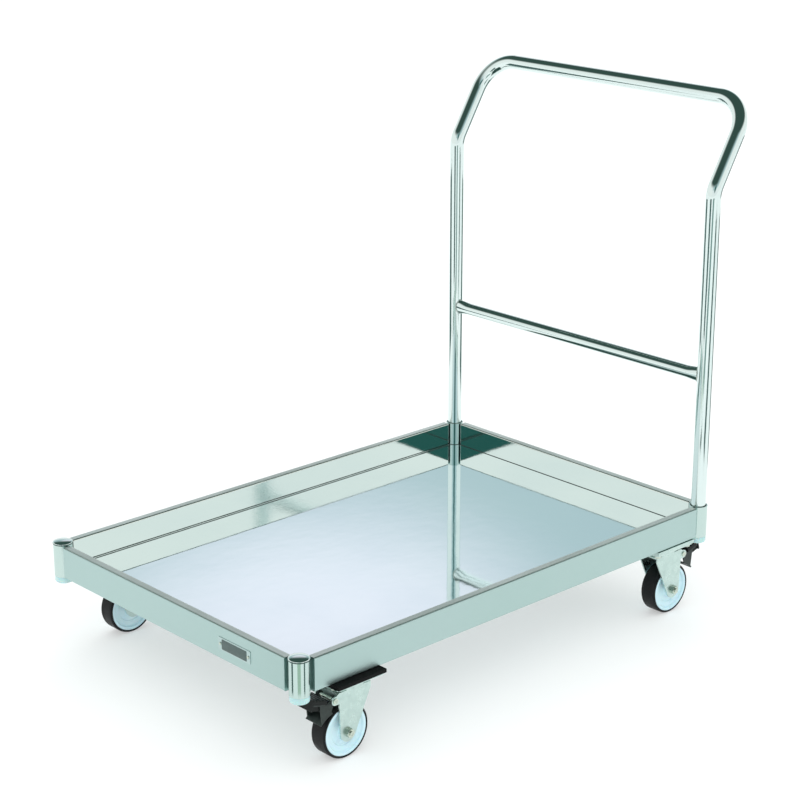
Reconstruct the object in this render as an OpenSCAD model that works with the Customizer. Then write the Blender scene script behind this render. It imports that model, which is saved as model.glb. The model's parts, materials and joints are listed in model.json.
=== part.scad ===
// Stainless tray trolley: a sunk mirror deck inside a box-section rim, a bent
// tube handle with one crossbar, and four plate casters, two of them braked.
// The object stands on the plane z = 0 and +X points at the handle end.

/* [Deck and rim] */
// Distance between the corner post axes along the trolley
post_span_x = 900; // [700:5:1200]
// Distance between the corner post axes across the trolley
post_span_y = 600; // [450:5:800]
// Height of the rim box
rim_h = 54; // [48:1:90]
// Width of the rim box
rim_w = 15; // [14:0.5:25]
// Sheet thickness of the rim box
rim_t = 1.5; // [1:0.1:2]
// Radius of the folded edges of the rim box
rim_fold_r = 2.5; // [1.8:0.1:4]
// How far the outer face of the rim stands outside the post axes
rim_out = 12.4; // [8:0.1:14]
// Gap between a corner post and the end of each rim box
rim_end_gap = 3; // [1.5:0.5:6]
// Height of the channels between the deck and the bottom of the rim
channel_h = 10; // [9:0.5:20]
// Thickness of the deck sheet
deck_t = 1.5; // [1:0.1:2.5]

/* [Corner posts] */
// Outside diameter of the corner posts
post_d = 31.8; // [30:0.1:40]
// Wall of the corner posts
post_t = 1.8; // [1.2:0.1:2]
// How far the posts reach below the rim
post_drop = 2; // [1:0.5:8]
// Height of the foot plug that shows below each post
plug_h = 11.4; // [6:0.2:14]
// Length of a cap or plug stem inside its post
stem_h = 12; // [8:0.5:13]
// How far a front post cap overhangs the post
cap_lip = 0.6; // [0.2:0.1:2]
// Thickness of a front post cap
cap_h = 2.5; // [1.5:0.1:4]
// How far the webs stay from the top and bottom of the rim boxes
web_inset = 4; // [2:0.5:10]
// Thickness of the webs
web_t = 3; // [2:0.5:5]

/* [Under frame] */
// Width of the cross members that carry the casters
cross_w = 96; // [96:1:140]
// Sheet thickness of the under frame
frame_t = 2; // [1.5:0.1:3]
// Distance of the stringers from the middle of the deck
stringer_y = 130; // [60:5:200]
// Width of a stringer
stringer_w = 40; // [20:1:80]

/* [Handle] */
// Outside diameter of the handle tube
tube_d = 25.4; // [22:0.1:26]
// Wall of the handle tube
tube_t = 1.5; // [1:0.1:2]
// Height of the rake bend above the rim top
rake_bend_h = 549; // [400:1:700]
// Angle of the raked top part from the vertical
rake_angle = 31.5; // [10:0.5:45]
// How much higher the top bar is than the rake bend
top_rise = 139.5; // [110:0.5:250]
// Centreline radius of the rake bend
rake_bend_r = 45; // [35:1:90]
// Centreline radius of the two top corners
top_bend_r = 62; // [40:1:90]
// Height of the crossbar axis above the rim top
crossbar_h = 232; // [100:1:400]
// Outside diameter of the crossbar
crossbar_d = 21.6; // [16:0.1:24]
// Height of the flared ends of the crossbar
crossbar_end_h = 27; // [24:0.5:34]
// Length of the flared ends of the crossbar
crossbar_end_l = 26; // [15:1:50]
// Gap between a handle leg and the foot plug below it
leg_gap = 2; // [0.5:0.5:8]
// How far the handle sleeve sits below the top of its post
sleeve_recess = 3; // [1:0.5:10]

/* [Casters] */
// Distance of the front swivel axes behind the front post axes
front_caster_inset = 100; // [98:1:250]
// Distance of the rear swivel axes in front of the rear post axes
rear_caster_inset = 71; // [69:1:250]
// Distance of the front swivel axes inside the post axes across the trolley
front_side_inset = 10; // [8:0.5:22]
// Distance of the rear swivel axes inside the post axes across the trolley
rear_side_inset = 22; // [8:0.5:22]
// Wheel diameter
wheel_d = 88; // [75:1:100]
// Tyre width
tyre_w = 31; // [24:0.5:34]
// Thickness of the tyre at the tread
tyre_t = 4; // [3:0.5:10]
// Radius of the tyre shoulders
shoulder_r = 2.4; // [1:0.1:2.8]
// Distance from the swivel axis to the axle
trail = 15; // [12:1:20]
// Sheet thickness of the fork
fork_t = 2.5; // [2:0.1:4]
// Gap between the wheel and the fork crown above it
crown_gap = 23; // [20:0.5:30]
// Gap between each fork leg and the wheel
wheel_gap = 2; // [1.5:0.1:4]
// Width of a fork leg at the crown
fork_top_w = 60; // [56:1:62]
// Radius of a fork leg round the axle
fork_eye_r = 15; // [10:0.5:16]
// Thickness of the pads between frame and casters
pad_t = 6; // [3:0.5:8]
// Length of a front pad along the trolley
front_pad_l = 95; // [92:1:96]
// Length of a rear pad along the trolley
rear_pad_l = 92; // [92:1:96]
// Width of every pad across the trolley
pad_w = 72; // [70:1:84]
// Caster top plate length
plate_l = 92; // [86:1:92]
// Caster top plate width
plate_w = 68; // [66:1:70]
// Caster top plate thickness
plate_t = 2.5; // [2:0.1:4]
// Height from the fork crown to the caster top plate
head_h = 11; // [11:0.5:16]
// Number of balls in each swivel head
ball_count = 16; // [8:1:20]
// Ball diameter
ball_d = 5; // [4:0.1:5]
// Pitch radius of the balls
ball_pitch_r = 20; // [18:0.5:21]

/* [Brakes] */
// Travel of a brake pedal
brake_stroke = 16; // [8:1:20]
// Distance of the pedal pivot behind the swivel axis
brake_pivot_x = 40; // [38:1:44]
// Distance of the pedal pivot below the fork crown
brake_pivot_drop = 8; // [7:0.5:9]
// Distance from the pivot to the middle of the pedal pad
pedal_reach = 27; // [25:1:34]
// Length of the pedal pad
pedal_l = 26; // [20:1:28]
// Width of the pedal pad
pedal_w = 36; // [34:1:44]
// Thickness of the pedal pad above its seat
pedal_t = 8; // [6:0.5:9]
// How far the pedal pad reaches below its seat
pedal_skirt = 8; // [5:0.5:9]
// Thickness of the end wall of the pedal pad
pedal_end_t = 3; // [2:0.5:5]

/* [Fasteners and label] */
// Diameter of the caster mounting bolts
mount_bolt_d = 6; // [5:0.5:6]
// Diameter of the axle bolts
axle_d = 8; // [6:0.5:8]
// Width of the label plate
label_w = 76; // [40:1:120]
// Height of the label plate
label_h = 21; // [12:1:30]
// Thickness of the label plate
label_t = 0.8; // [0.5:0.1:1.5]
// Distance of the label centre from the left post axis
label_from_post = 134; // [80:1:300]

/* [Hidden] */
$fn = 64;
// radial clearance of a shaft that turns in its bore
run_fit = 0.05;
// radial clearance of a part that is pushed in or slid over
push_fit = 0.1;
// clearance between faces that pass each other
pass_gap = 0.4;
// width of hex heads and nuts across flats, their height and the bore for a bolt
function across_flats(d) = 1.6 * d;
function nut_h(d) = 0.8 * d;
function head_h_of(d) = 0.66 * d;

post_x = post_span_x / 2;
post_y = post_span_y / 2;
post_r = post_d / 2;
post_bore_r = post_r - post_t;
tube_r = tube_d / 2;
wheel_r = wheel_d / 2;
crown_base_z = wheel_d + crown_gap;
crown_top_z = crown_base_z + fork_t;
plate_base_z = crown_top_z + head_h;
pad_base_z = plate_base_z + plate_t;
rim_base_z = pad_base_z + pad_t;
rim_top_z = rim_base_z + rim_h;
rim_in = rim_w - rim_out;
rim_mid = rim_out - rim_w / 2;
rim_end = post_r + rim_end_gap;
deck_base_z = rim_base_z + channel_h;
post_base_z = rim_base_z - post_drop;

// lengths of a bent tube are kept to a hundredth, so its stretches meet face to face
function to_hundredth(x) = round(100 * x) / 100;
tube_bore_r = tube_r - tube_t;
rake_len = to_hundredth(top_rise / cos(rake_angle));
rake_run = rake_len * sin(rake_angle);
rake_bend_z = rim_top_z + rake_bend_h;
rake_tangent = to_hundredth(rake_bend_r * tan(rake_angle / 2));
// the raked top butts on the bent legs over short inner ferrules
butt_gap = 0.02;
ferrule_l = 8;
ferrule_t = 0.6;
ferrule_grip = tube_t / 2;
handle_base_z = post_base_z + stem_h + leg_gap;
crossbar_z = rim_top_z + crossbar_h;
crossbar_flat_w = crossbar_d - 4;
sleeve_top_z = rim_top_z - sleeve_recess;
lock_z = (sleeve_top_z + handle_base_z) / 2;
lock_d = 5;
lock_head_d = 9;
lock_head_h = 2.5;
lock_key = 3;
lock_key_depth = 1.6;
// the screw ends just inside the handle tube
lock_depth = post_r - tube_r + tube_t + 3;

// the origin is the middle of the whole object's length
deck_x = -(rake_run + tube_r - post_r - cap_lip) / 2;

core_r = wheel_r - tyre_t;
leg_in_y = tyre_w / 2 + wheel_gap;
leg_out_y = leg_in_y + fork_t;
front_caster_x = post_x - front_caster_inset;
rear_caster_x = post_x - rear_caster_inset;
fork_front_x = -fork_top_w / 2;
fork_back_x = fork_top_w / 2 + 3;
leg_top_z = crown_top_z;
crown_hip_z = crown_base_z - 6;
mount_bolt_x = plate_l / 2 - 8;
mount_bolt_r = mount_bolt_d / 2;
king_r = 5;
king_head_r = 9;
king_head_h = 3.5;
king_top_h = 2;
race_in_r = 12;
race_out_r = ball_pitch_r + 3.2;
shell_r = ball_pitch_r + 6;
shell_t = 2;
race_floor_t = 2;
ball_z = crown_top_z + race_floor_t + ball_d / 2 + pass_gap / 2;
race_cup_z = ball_z + ball_d / 2 + pass_gap / 2;
shell_top_z = plate_base_z - 2 * pass_gap;
axle_r = axle_d / 2;
sleeve_r = axle_r + 2.2;
hub_r = 13;
hub_w = 2 * leg_in_y - 2;
core_w = tyre_w - 2;
core_web_w = 21;
core_rim_t = 6;
core_fillet_r = 3;
bead_w = 1.2;

pivot_z = crown_base_z - brake_pivot_drop;
pivot_r = 3;
ear_r = 7;
cheek_t = 2;
cheek_out_y = leg_in_y - pass_gap;
cheek_r = 6;
shoe_t = 2.5;
shoe_from = 26;
shoe_to = 60;
lever_slope = 12;
shoe_r = wheel_r + pass_gap;
// the pedal pad's seat, with the pedal pressed
seat_x = brake_pivot_x + pedal_reach - pedal_l / 2;
seat_z = pivot_z - pedal_reach * tan(lever_slope);
pedal_ribs = 4;
label_y = label_from_post - post_y;
label_z = rim_base_z + rim_h / 2 - 1;

steel = [0.72, 0.83, 0.83];
chrome = [0.80, 0.86, 0.87];
mirror_steel = [0.78, 0.87, 0.90];
zinc = [0.66, 0.76, 0.73];
black_rubber = [0.05, 0.05, 0.05];
pale_plastic = [0.76, 0.90, 0.94];

// name suffix, position of the swivel axis, turn of the trail, side of the nut, side inset
CASTERS = [
    ["front_left",  -front_caster_x, front_side_inset - post_y, 180,  1, front_side_inset],
    ["front_right", -front_caster_x, post_y - front_side_inset,   0,  1, front_side_inset],
    ["rear_left",    rear_caster_x,  rear_side_inset - post_y,    0, -1, rear_side_inset],
    ["rear_right",   rear_caster_x,  post_y - rear_side_inset,    0,  1, rear_side_inset],
];
FRONT_LEFT = CASTERS[0];
FRONT_RIGHT = CASTERS[1];
REAR_LEFT = CASTERS[2];
REAR_RIGHT = CASTERS[3];

// ---- placing ----

module on_deck() {
    translate([deck_x, 0, 0]) children();
}

module at_posts(ends = [-1, 1]) {
    for (sx = ends, sy = [-1, 1])
        on_deck() translate([sx * post_x, sy * post_y, 0]) children();
}

// the local frame of a caster: +X is the way it trails, the swivel axis is Z
module at_caster(c) {
    on_deck() translate([c[1], c[2], 0]) rotate([0, 0, c[3]]) children();
}

module at_casters() {
    for (c = CASTERS) at_caster(c) children();
}

// the outer mounting bolts of a caster pass through the middle of the rim box
function mount_bolt_y(c) = c[5] + rim_mid;

module at_plate_bolts(c) {
    for (sx = [-1, 1], sy = [-1, 1])
        translate([sx * mount_bolt_x, sy * mount_bolt_y(c), 0]) children();
}

module at_mount_bolts() {
    for (c = CASTERS) at_caster(c) at_plate_bolts(c) children();
}

// ---- shapes ----

module ring(r_out, r_in, h) {
    difference() {
        cylinder(r = r_out, h = h);
        translate([0, 0, -1]) cylinder(r = r_in, h = h + 2);
    }
}

module hexagon_prism(flats, h) {
    cylinder(d = flats / cos(30), h = h, $fn = 6);
}

module rounded_rect(w, h, r) {
    translate([-w / 2 + r, -h / 2]) square([w - 2 * r, h]);
    translate([-w / 2, -h / 2 + r]) square([w, h - 2 * r]);
    for (sx = [-1, 1], sy = [-1, 1])
        translate([sx * (w / 2 - r), sy * (h / 2 - r)]) circle(r);
}

// point where a line from p touches the circle of radius r round c
function tangent_point(p, c, r, side) =
    let (d = norm(p - c), a = atan2(p[1] - c[1], p[0] - c[0]) + side * acos(r / d))
    c + r * [cos(a), sin(a)];

// ---- tray ----

// one rim box along local X, its outer face towards local -Y
module rim_box(span) {
    color(steel)
    translate([0, -rim_mid, rim_base_z + rim_h / 2])
    rotate([90, 0, 90]) {
        difference() {
            translate([0, 0, -span / 2]) linear_extrude(span) rounded_rect(rim_w, rim_h, rim_fold_r);
            translate([0, 0, -span / 2 + rim_t]) linear_extrude(span - 2 * rim_t)
                rounded_rect(rim_w - 2 * rim_t, rim_h - 2 * rim_t, rim_fold_r - rim_t);
        }
    }
}

module rim_across(sx) {
    difference() {
        on_deck() translate([sx * post_x, 0, 0]) rotate([0, 0, sx * 90])
            rim_box(post_span_y - 2 * rim_end);
        if (sx < 0) at_label_rivets() cylinder(r = label_rivet_r, h = 4 * rim_t, center = true);
    }
}

module rim_along(sy) {
    difference() {
        on_deck() translate([0, sy * post_y, 0]) rotate([0, 0, sy < 0 ? 0 : 180])
            rim_box(post_span_x - 2 * rim_end);
        at_mount_bolts() translate([0, 0, rim_base_z - 1]) cylinder(r = mount_bolt_r + push_fit, h = rim_t + 2);
    }
}

module rim_front() { rim_across(-1); }
module rim_rear() { rim_across(1); }
module rim_left() { rim_along(-1); }
module rim_right() { rim_along(1); }

module deck_plate() {
    color(mirror_steel)
    difference() {
        on_deck() translate([-post_x + rim_in, -post_y + rim_in, deck_base_z])
            cube([post_span_x - 2 * rim_in, post_span_y - 2 * rim_in, deck_t]);
        at_posts() translate([0, 0, deck_base_z - 1]) cylinder(r = post_r, h = deck_t + 2);
    }
}

module corner_post(sx, sy) {
    color(steel)
    difference() {
        on_deck() translate([sx * post_x, sy * post_y, post_base_z])
            ring(post_r, post_bore_r, rim_top_z - post_base_z);
        if (sx > 0) lock_holes();
    }
}

module post_front_left() { corner_post(-1, -1); }
module post_front_right() { corner_post(-1, 1); }
module post_rear_left() { corner_post(1, -1); }
module post_rear_right() { corner_post(1, 1); }

module post_caps() {
    cap_r = post_r + cap_lip;
    edge_r = cap_h * 0.6;
    color([0.25, 0.36, 0.33])
    at_posts([-1]) translate([0, 0, rim_top_z]) {
        rotate_extrude() {
            square([cap_r - edge_r, cap_h]);
            square([cap_r, cap_h - edge_r]);
            intersection() {
                translate([cap_r - edge_r, cap_h - edge_r]) circle(edge_r);
                square([cap_r, cap_h]);
            }
        }
        translate([0, 0, -stem_h]) cylinder(r = post_bore_r, h = stem_h);
    }
}

module foot_plugs() {
    foot_r = post_r - 0.6;
    round_r = 4;
    color([0.70, 0.88, 0.88])
    at_posts() translate([0, 0, post_base_z - plug_h]) {
        rotate_extrude() {
            square([foot_r - round_r, plug_h]);
            translate([0, round_r]) square([foot_r, plug_h - round_r]);
            intersection() {
                translate([foot_r - round_r, round_r]) circle(round_r);
                square([foot_r, plug_h]);
            }
        }
        translate([0, 0, plug_h]) cylinder(r = post_bore_r, h = stem_h);
    }
}

// short webs that join each post to the two rim boxes that end beside it
module corner_webs() {
    web_h = rim_h - 2 * web_inset;
    web_z = rim_base_z + web_inset;
    color(zinc)
    difference() {
        on_deck() for (sx = [-1, 1], sy = [-1, 1]) translate([sx * post_x, sy * post_y, web_z]) {
            translate([-sx * rim_end / 2, sy * rim_mid, web_h / 2]) cube([rim_end, web_t, web_h], center = true);
            translate([sx * rim_mid, -sy * rim_end / 2, web_h / 2]) cube([web_t, rim_end, web_h], center = true);
        }
        at_posts() translate([0, 0, web_z - 1]) cylinder(r = post_r, h = web_h + 2);
    }
}

// ---- under frame ----

// a channel under the deck from rim to rim, open towards the deck
module cross_member(x) {
    length = post_span_y - 2 * rim_in;
    color(zinc)
    difference() {
        on_deck() translate([x - cross_w / 2, -length / 2, rim_base_z]) difference() {
            cube([cross_w, length, channel_h]);
            translate([frame_t, -1, frame_t]) cube([cross_w - 2 * frame_t, length + 2, channel_h]);
        }
        at_mount_bolts() translate([0, 0, rim_base_z - 1]) cylinder(r = mount_bolt_r + push_fit, h = frame_t + 2);
    }
}

module cross_member_front() { cross_member(-front_caster_x); }
module cross_member_rear() { cross_member(rear_caster_x); }

module deck_stringers() {
    from_x = -front_caster_x + cross_w / 2;
    length = rear_caster_x - cross_w / 2 - from_x;
    color(zinc)
    on_deck() for (sy = [-1, 1]) translate([from_x, sy * stringer_y - stringer_w / 2, rim_base_z]) difference() {
        cube([length, stringer_w, channel_h]);
        translate([-1, frame_t, frame_t]) cube([length + 2, stringer_w - 2 * frame_t, channel_h]);
    }
}

// ---- label ----

label_rivet_r = 1.4;
label_rivet_head_r = 2.4;
label_rivet_head_h = 0.9;

// places of the two label rivets, local +Z pointing out of the front rim
module at_label_rivets() {
    on_deck() for (s = [-1, 1])
        translate([-post_x - rim_out, label_y + s * (label_w / 2 - 5), label_z])
            rotate([0, -90, 0]) children();
}

module label_plate() {
    color([0.86, 0.90, 0.90])
    difference() {
        on_deck() translate([-post_x - rim_out, label_y, label_z]) rotate([90, 0, -90])
            linear_extrude(label_t) rounded_rect(label_w, label_h, 2);
        at_label_rivets() translate([0, 0, -1]) cylinder(r = label_rivet_r, h = label_t + 2);
    }
}

module label_rivets() {
    color(steel)
    at_label_rivets() {
        translate([0, 0, -rim_t]) cylinder(r = label_rivet_r, h = rim_t + label_t);
        translate([0, 0, label_t]) cylinder(r = label_rivet_head_r, h = label_rivet_head_h);
    }
}

// ---- handle ----

module tube_section() {
    difference() {
        circle(tube_r);
        circle(tube_bore_r);
    }
}

module straight_tube(length) {
    ring(tube_r, tube_bore_r, length);
}

module bent_tube(bend_r, angle) {
    rotate_extrude(angle = angle) translate([bend_r, 0]) tube_section();
}

// a leg and its rake bend, with the ferrule end that the top part butts against
module handle_leg(sy) {
    leg_top_z = rake_bend_z - rake_tangent;
    translate([0, sy * post_y, 0]) {
        difference() {
            translate([0, 0, handle_base_z]) straight_tube(leg_top_z - handle_base_z);
            translate([-deck_x - post_x, -sy * post_y, 0]) lock_holes();
        }
        translate([rake_bend_r, 0, leg_top_z]) rotate([90, 0, 0])
            mirror([1, 0, 0]) bent_tube(rake_bend_r, rake_angle);
    }
}

// the raked top part of the hoop, drawn upright from the level of the rake bend
module handle_top() {
    straight = rake_len - top_bend_r - rake_tangent;
    for (sy = [-1, 1]) {
        translate([0, sy * post_y, rake_tangent + butt_gap]) straight_tube(straight - butt_gap);
        translate([0, sy * post_y, rake_tangent - ferrule_l / 2])
            ring(tube_bore_r + ferrule_grip, tube_bore_r - ferrule_t, ferrule_l);
        mirror([0, sy < 0 ? 1 : 0, 0]) translate([0, post_y - top_bend_r, rake_len - top_bend_r])
            rotate([90, 0, 90]) bent_tube(top_bend_r, 90);
    }
    translate([0, top_bend_r - post_y, rake_len]) rotate([-90, 0, 0])
        straight_tube(post_span_y - 2 * top_bend_r);
}

module handle_hoop() {
    color(chrome)
    on_deck() translate([post_x, 0, 0]) {
        for (sy = [-1, 1]) handle_leg(sy);
        translate([0, 0, rake_bend_z]) rotate([0, rake_angle, 0]) handle_top();
    }
}

// the crossbar is a tube whose ends are pressed tall and shaped to the legs
module handle_crossbar() {
    bar_r = crossbar_d / 2;
    end_from = post_y - tube_r - crossbar_end_l;
    color(chrome)
    on_deck() translate([post_x, 0, crossbar_z]) difference() {
        union() {
            rotate([90, 0, 0]) cylinder(r = bar_r, h = 2 * end_from, center = true);
            for (sy = [-1, 1]) hull() {
                translate([0, sy * end_from, 0]) rotate([90, 0, 0]) cylinder(r = bar_r, h = 0.1, center = true);
                for (sz = [-1, 1]) translate([0, sy * post_y, sz * (crossbar_end_h - crossbar_flat_w) / 2])
                    rotate([90, 0, 0]) cylinder(d = crossbar_flat_w, h = 0.1, center = true);
            }
        }
        rotate([90, 0, 0]) cylinder(r = bar_r - tube_t, h = 2 * end_from - 4, center = true);
        for (sy = [-1, 1]) translate([0, sy * post_y, 0])
            cylinder(r = tube_r, h = 2 * crossbar_end_h, center = true);
    }
}

// plastic liners between the handle legs and the rear posts
module handle_sleeves() {
    color(black_rubber)
    difference() {
        at_posts([1]) translate([0, 0, handle_base_z])
            ring(post_bore_r, tube_r, sleeve_top_z - handle_base_z);
        lock_holes();
    }
}

// screw places on the rear face of the rear posts, local +Z pointing inwards
module at_locks() {
    on_deck() for (sy = [-1, 1])
        translate([post_x + post_r, sy * post_y, lock_z]) rotate([0, -90, 0]) children();
}

module lock_holes() {
    at_locks() translate([0, 0, -1]) cylinder(r = lock_d / 2, h = lock_depth + 1);
}

module handle_lock_screws() {
    color(steel)
    at_locks() translate([0, 0, -lock_head_h]) difference() {
        union() {
            cylinder(r = lock_head_d / 2, h = lock_head_h);
            cylinder(r = lock_d / 2, h = lock_head_h + lock_depth);
        }
        translate([0, 0, -1]) hexagon_prism(lock_key, lock_key_depth + 1);
    }
}

// ---- caster parts fixed to the trolley ----

// one mounting pad of length l; the swivel axis is its centre
module caster_pad(c, l) {
    at_caster(c) translate([0, 0, pad_base_z]) difference() {
        translate([0, 0, pad_t / 2]) cube([l, pad_w, pad_t], center = true);
        at_plate_bolts(c) translate([0, 0, -1]) cylinder(r = mount_bolt_r + push_fit, h = pad_t + 2);
        translate([0, 0, -1]) cylinder(r = king_r + push_fit, h = 1 + king_top_h);
    }
}

module front_caster_pads() {
    color(black_rubber)
    for (c = [FRONT_LEFT, FRONT_RIGHT]) caster_pad(c, front_pad_l);
}

module rear_caster_pads() {
    color(zinc)
    for (c = [REAR_LEFT, REAR_RIGHT]) caster_pad(c, rear_pad_l);
}

// plate with the fixed half of the ball race pressed under it
module caster_top_plates() {
    corner_r = 5;
    color(zinc)
    for (c = CASTERS) at_caster(c) difference() {
        union() {
            translate([0, 0, plate_base_z]) linear_extrude(plate_t) rounded_rect(plate_l, plate_w, corner_r);
            translate([0, 0, race_cup_z]) cylinder(r = race_out_r, h = plate_base_z - race_cup_z);
        }
        translate([0, 0, race_cup_z - 1]) cylinder(r = king_r, h = plate_base_z + plate_t - race_cup_z + 2);
        at_plate_bolts(c) translate([0, 0, plate_base_z - 1])
            cylinder(r = mount_bolt_r + push_fit, h = plate_t + 2);
    }
}

// rivets that hold each fork to its plate and let it turn
module king_pins() {
    pin_base_z = crown_base_z - pass_gap / 2 - king_head_h;
    color(steel)
    at_casters() translate([0, 0, pin_base_z]) {
        cylinder(r = king_head_r, h = king_head_h);
        cylinder(r = king_r, h = pad_base_z + king_top_h - pin_base_z);
    }
}

module swivel_balls() {
    color(steel)
    at_casters() for (i = [0 : ball_count - 1])
        rotate([0, 0, i * 360 / ball_count]) translate([ball_pitch_r, 0, ball_z]) sphere(d = ball_d, $fn = 24);
}

module mount_bolts() {
    head_h = head_h_of(mount_bolt_d);
    bolt_len = plate_t + pad_t + frame_t + nut_h(mount_bolt_d) + 1;
    color(steel)
    at_mount_bolts() translate([0, 0, plate_base_z - head_h]) {
        hexagon_prism(across_flats(mount_bolt_d), head_h);
        cylinder(r = mount_bolt_r, h = head_h + bolt_len);
    }
}

// nuts on top of the sheet: in the rim box on the outer side, in the channel on the inner
module mount_nuts() {
    height = nut_h(mount_bolt_d);
    color(steel)
    for (c = CASTERS) at_caster(c) for (sx = [-1, 1], sy = [-1, 1])
        translate([sx * mount_bolt_x, sy * mount_bolt_y(c), rim_base_z + (sy == c[4] ? rim_t : frame_t)])
            difference() {
                hexagon_prism(across_flats(mount_bolt_d), height);
                translate([0, 0, -1]) cylinder(r = mount_bolt_r, h = height + 2);
            }
}

// ---- fork and axle ----

// outline of a fork leg, local X along the trail and Y up from the floor
module leg_outline(braked) {
    axle = [trail, wheel_r];
    hip_front = [fork_front_x, crown_hip_z];
    hip_back = [fork_back_x, crown_hip_z];
    polygon([
        [fork_front_x, leg_top_z], hip_front,
        tangent_point(hip_front, axle, fork_eye_r, 1),
        axle,
        tangent_point(hip_back, axle, fork_eye_r, -1),
        hip_back, [fork_back_x, leg_top_z],
    ]);
    translate(axle) circle(fork_eye_r);
    if (braked) {
        ear = [brake_pivot_x, pivot_z];
        translate(ear) circle(ear_r);
        polygon([[0, leg_top_z], [0, pivot_z - ear_r], [ear[0], pivot_z - ear_r],
                 [ear[0] + ear_r, pivot_z], [fork_back_x, leg_top_z]]);
    }
}

module fork(c, braked) {
    color(steel)
    at_caster(c) difference() {
        union() {
            for (sy = [-1, 1]) translate([0, sy * (leg_in_y + fork_t / 2), 0]) rotate([90, 0, 0])
                linear_extrude(fork_t, center = true) leg_outline(braked);
            translate([fork_front_x, -leg_out_y, crown_base_z])
                cube([fork_back_x - fork_front_x, 2 * leg_out_y, fork_t]);
            translate([0, 0, crown_top_z]) ring(shell_r, race_in_r, race_floor_t);
            translate([0, 0, crown_top_z]) ring(shell_r, shell_r - shell_t, shell_top_z - crown_top_z);
        }
        translate([0, 0, crown_base_z - 1]) cylinder(r = king_r + run_fit, h = fork_t + race_floor_t + 2);
        translate([trail, 0, wheel_r]) rotate([90, 0, 0])
            cylinder(r = axle_r + push_fit, h = 2 * leg_out_y + 2, center = true);
        if (braked) translate([brake_pivot_x, 0, pivot_z]) rotate([90, 0, 0])
            cylinder(r = pivot_r, h = 2 * leg_out_y + 2, center = true);
    }
}

// local frame of an axle: its axis is local Z, pointing at the nut
module at_axle(c) {
    at_caster(c) translate([trail, 0, wheel_r]) rotate([-90 * c[4], 0, 0]) children();
}

module axle_bolt(c) {
    head_h = head_h_of(axle_d);
    thread_out = nut_h(axle_d) + 2;
    color(steel)
    at_axle(c) translate([0, 0, -leg_out_y]) {
        translate([0, 0, -head_h]) hexagon_prism(across_flats(axle_d), head_h);
        translate([0, 0, -head_h]) cylinder(r = axle_r, h = head_h + 2 * leg_out_y + thread_out);
    }
}

module axle_nut(c) {
    flats = across_flats(axle_d);
    height = nut_h(axle_d);
    corner_r = flats / 2 / cos(30);
    chamfer = corner_r - flats / 2;
    color(steel)
    at_axle(c) translate([0, 0, leg_out_y]) difference() {
        intersection() {
            hexagon_prism(flats, height);
            rotate_extrude() polygon([
                [0, 0], [corner_r, 0], [corner_r, height - chamfer], [flats / 2, height], [0, height],
            ]);
        }
        translate([0, 0, -1]) cylinder(r = axle_r, h = height + 2);
    }
}

// sleeve clamped between the legs; the wheel turns on it
module axle_sleeve(c) {
    color(zinc)
    at_axle(c) translate([0, 0, -leg_in_y]) ring(sleeve_r, axle_r, 2 * leg_in_y);
}

// ---- wheel ----

// half section of the plastic wheel: radius along X, width along Y
module core_section() {
    bore = sleeve_r + run_fit;
    rim_r = core_r - core_rim_t;
    difference() {
        union() {
            translate([bore, -hub_w / 2]) square([hub_r - bore, hub_w]);
            translate([bore, -core_web_w / 2]) square([core_r - bore, core_web_w]);
            translate([rim_r, -core_w / 2]) square([core_r - rim_r, core_w]);
            for (sy = [-1, 1]) {
                translate([hub_r - 1, sy > 0 ? core_web_w / 2 - 1 : -core_web_w / 2 - core_fillet_r])
                    square([core_fillet_r + 1, core_fillet_r + 1]);
                translate([rim_r - core_fillet_r, sy > 0 ? core_web_w / 2 - 1 : -core_web_w / 2 - core_fillet_r])
                    square([core_fillet_r + 1, core_fillet_r + 1]);
            }
        }
        for (sy = [-1, 1]) {
            translate([hub_r + core_fillet_r, sy * (core_web_w / 2 + core_fillet_r)]) circle(core_fillet_r);
            translate([rim_r - core_fillet_r, sy * (core_web_w / 2 + core_fillet_r)]) circle(core_fillet_r);
        }
    }
}

module wheel_core(c) {
    color(pale_plastic)
    at_axle(c) rotate_extrude() core_section();
}

// rubber tread with round shoulders
module tyre(c) {
    color(black_rubber)
    at_axle(c) rotate_extrude() intersection() {
        translate([wheel_r - 2 * tyre_w, 0]) rounded_tread();
        translate([core_r, -tyre_w / 2]) square([tyre_t, tyre_w]);
    }
}

module rounded_tread() {
    translate([0, -tyre_w / 2 + shoulder_r]) square([2 * tyre_w, tyre_w - 2 * shoulder_r]);
    translate([0, -tyre_w / 2]) square([2 * tyre_w - shoulder_r, tyre_w]);
    for (sy = [-1, 1]) translate([2 * tyre_w - shoulder_r, sy * (tyre_w / 2 - shoulder_r)]) circle(shoulder_r);
}

// ---- brake ----

// shapes drawn with the pedal pressed, turned back up by the pedal's travel
module brake_at_rest(c) {
    at_caster(c) translate([brake_pivot_x, 0, pivot_z]) rotate([0, -brake_stroke, 0])
        translate([-brake_pivot_x, 0, -pivot_z]) children();
}

// wedge of radius r round the axle between the two ends of the shoe
module shoe_wedge(r) {
    reach = 2 * r;
    translate([trail, wheel_r]) intersection() {
        circle(r);
        polygon([[0, 0], reach * [cos(shoe_from), sin(shoe_from)], reach * [cos(shoe_to), sin(shoe_to)]]);
    }
}

module tyre_clearance() {
    translate([trail, wheel_r]) circle(shoe_r);
}

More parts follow.
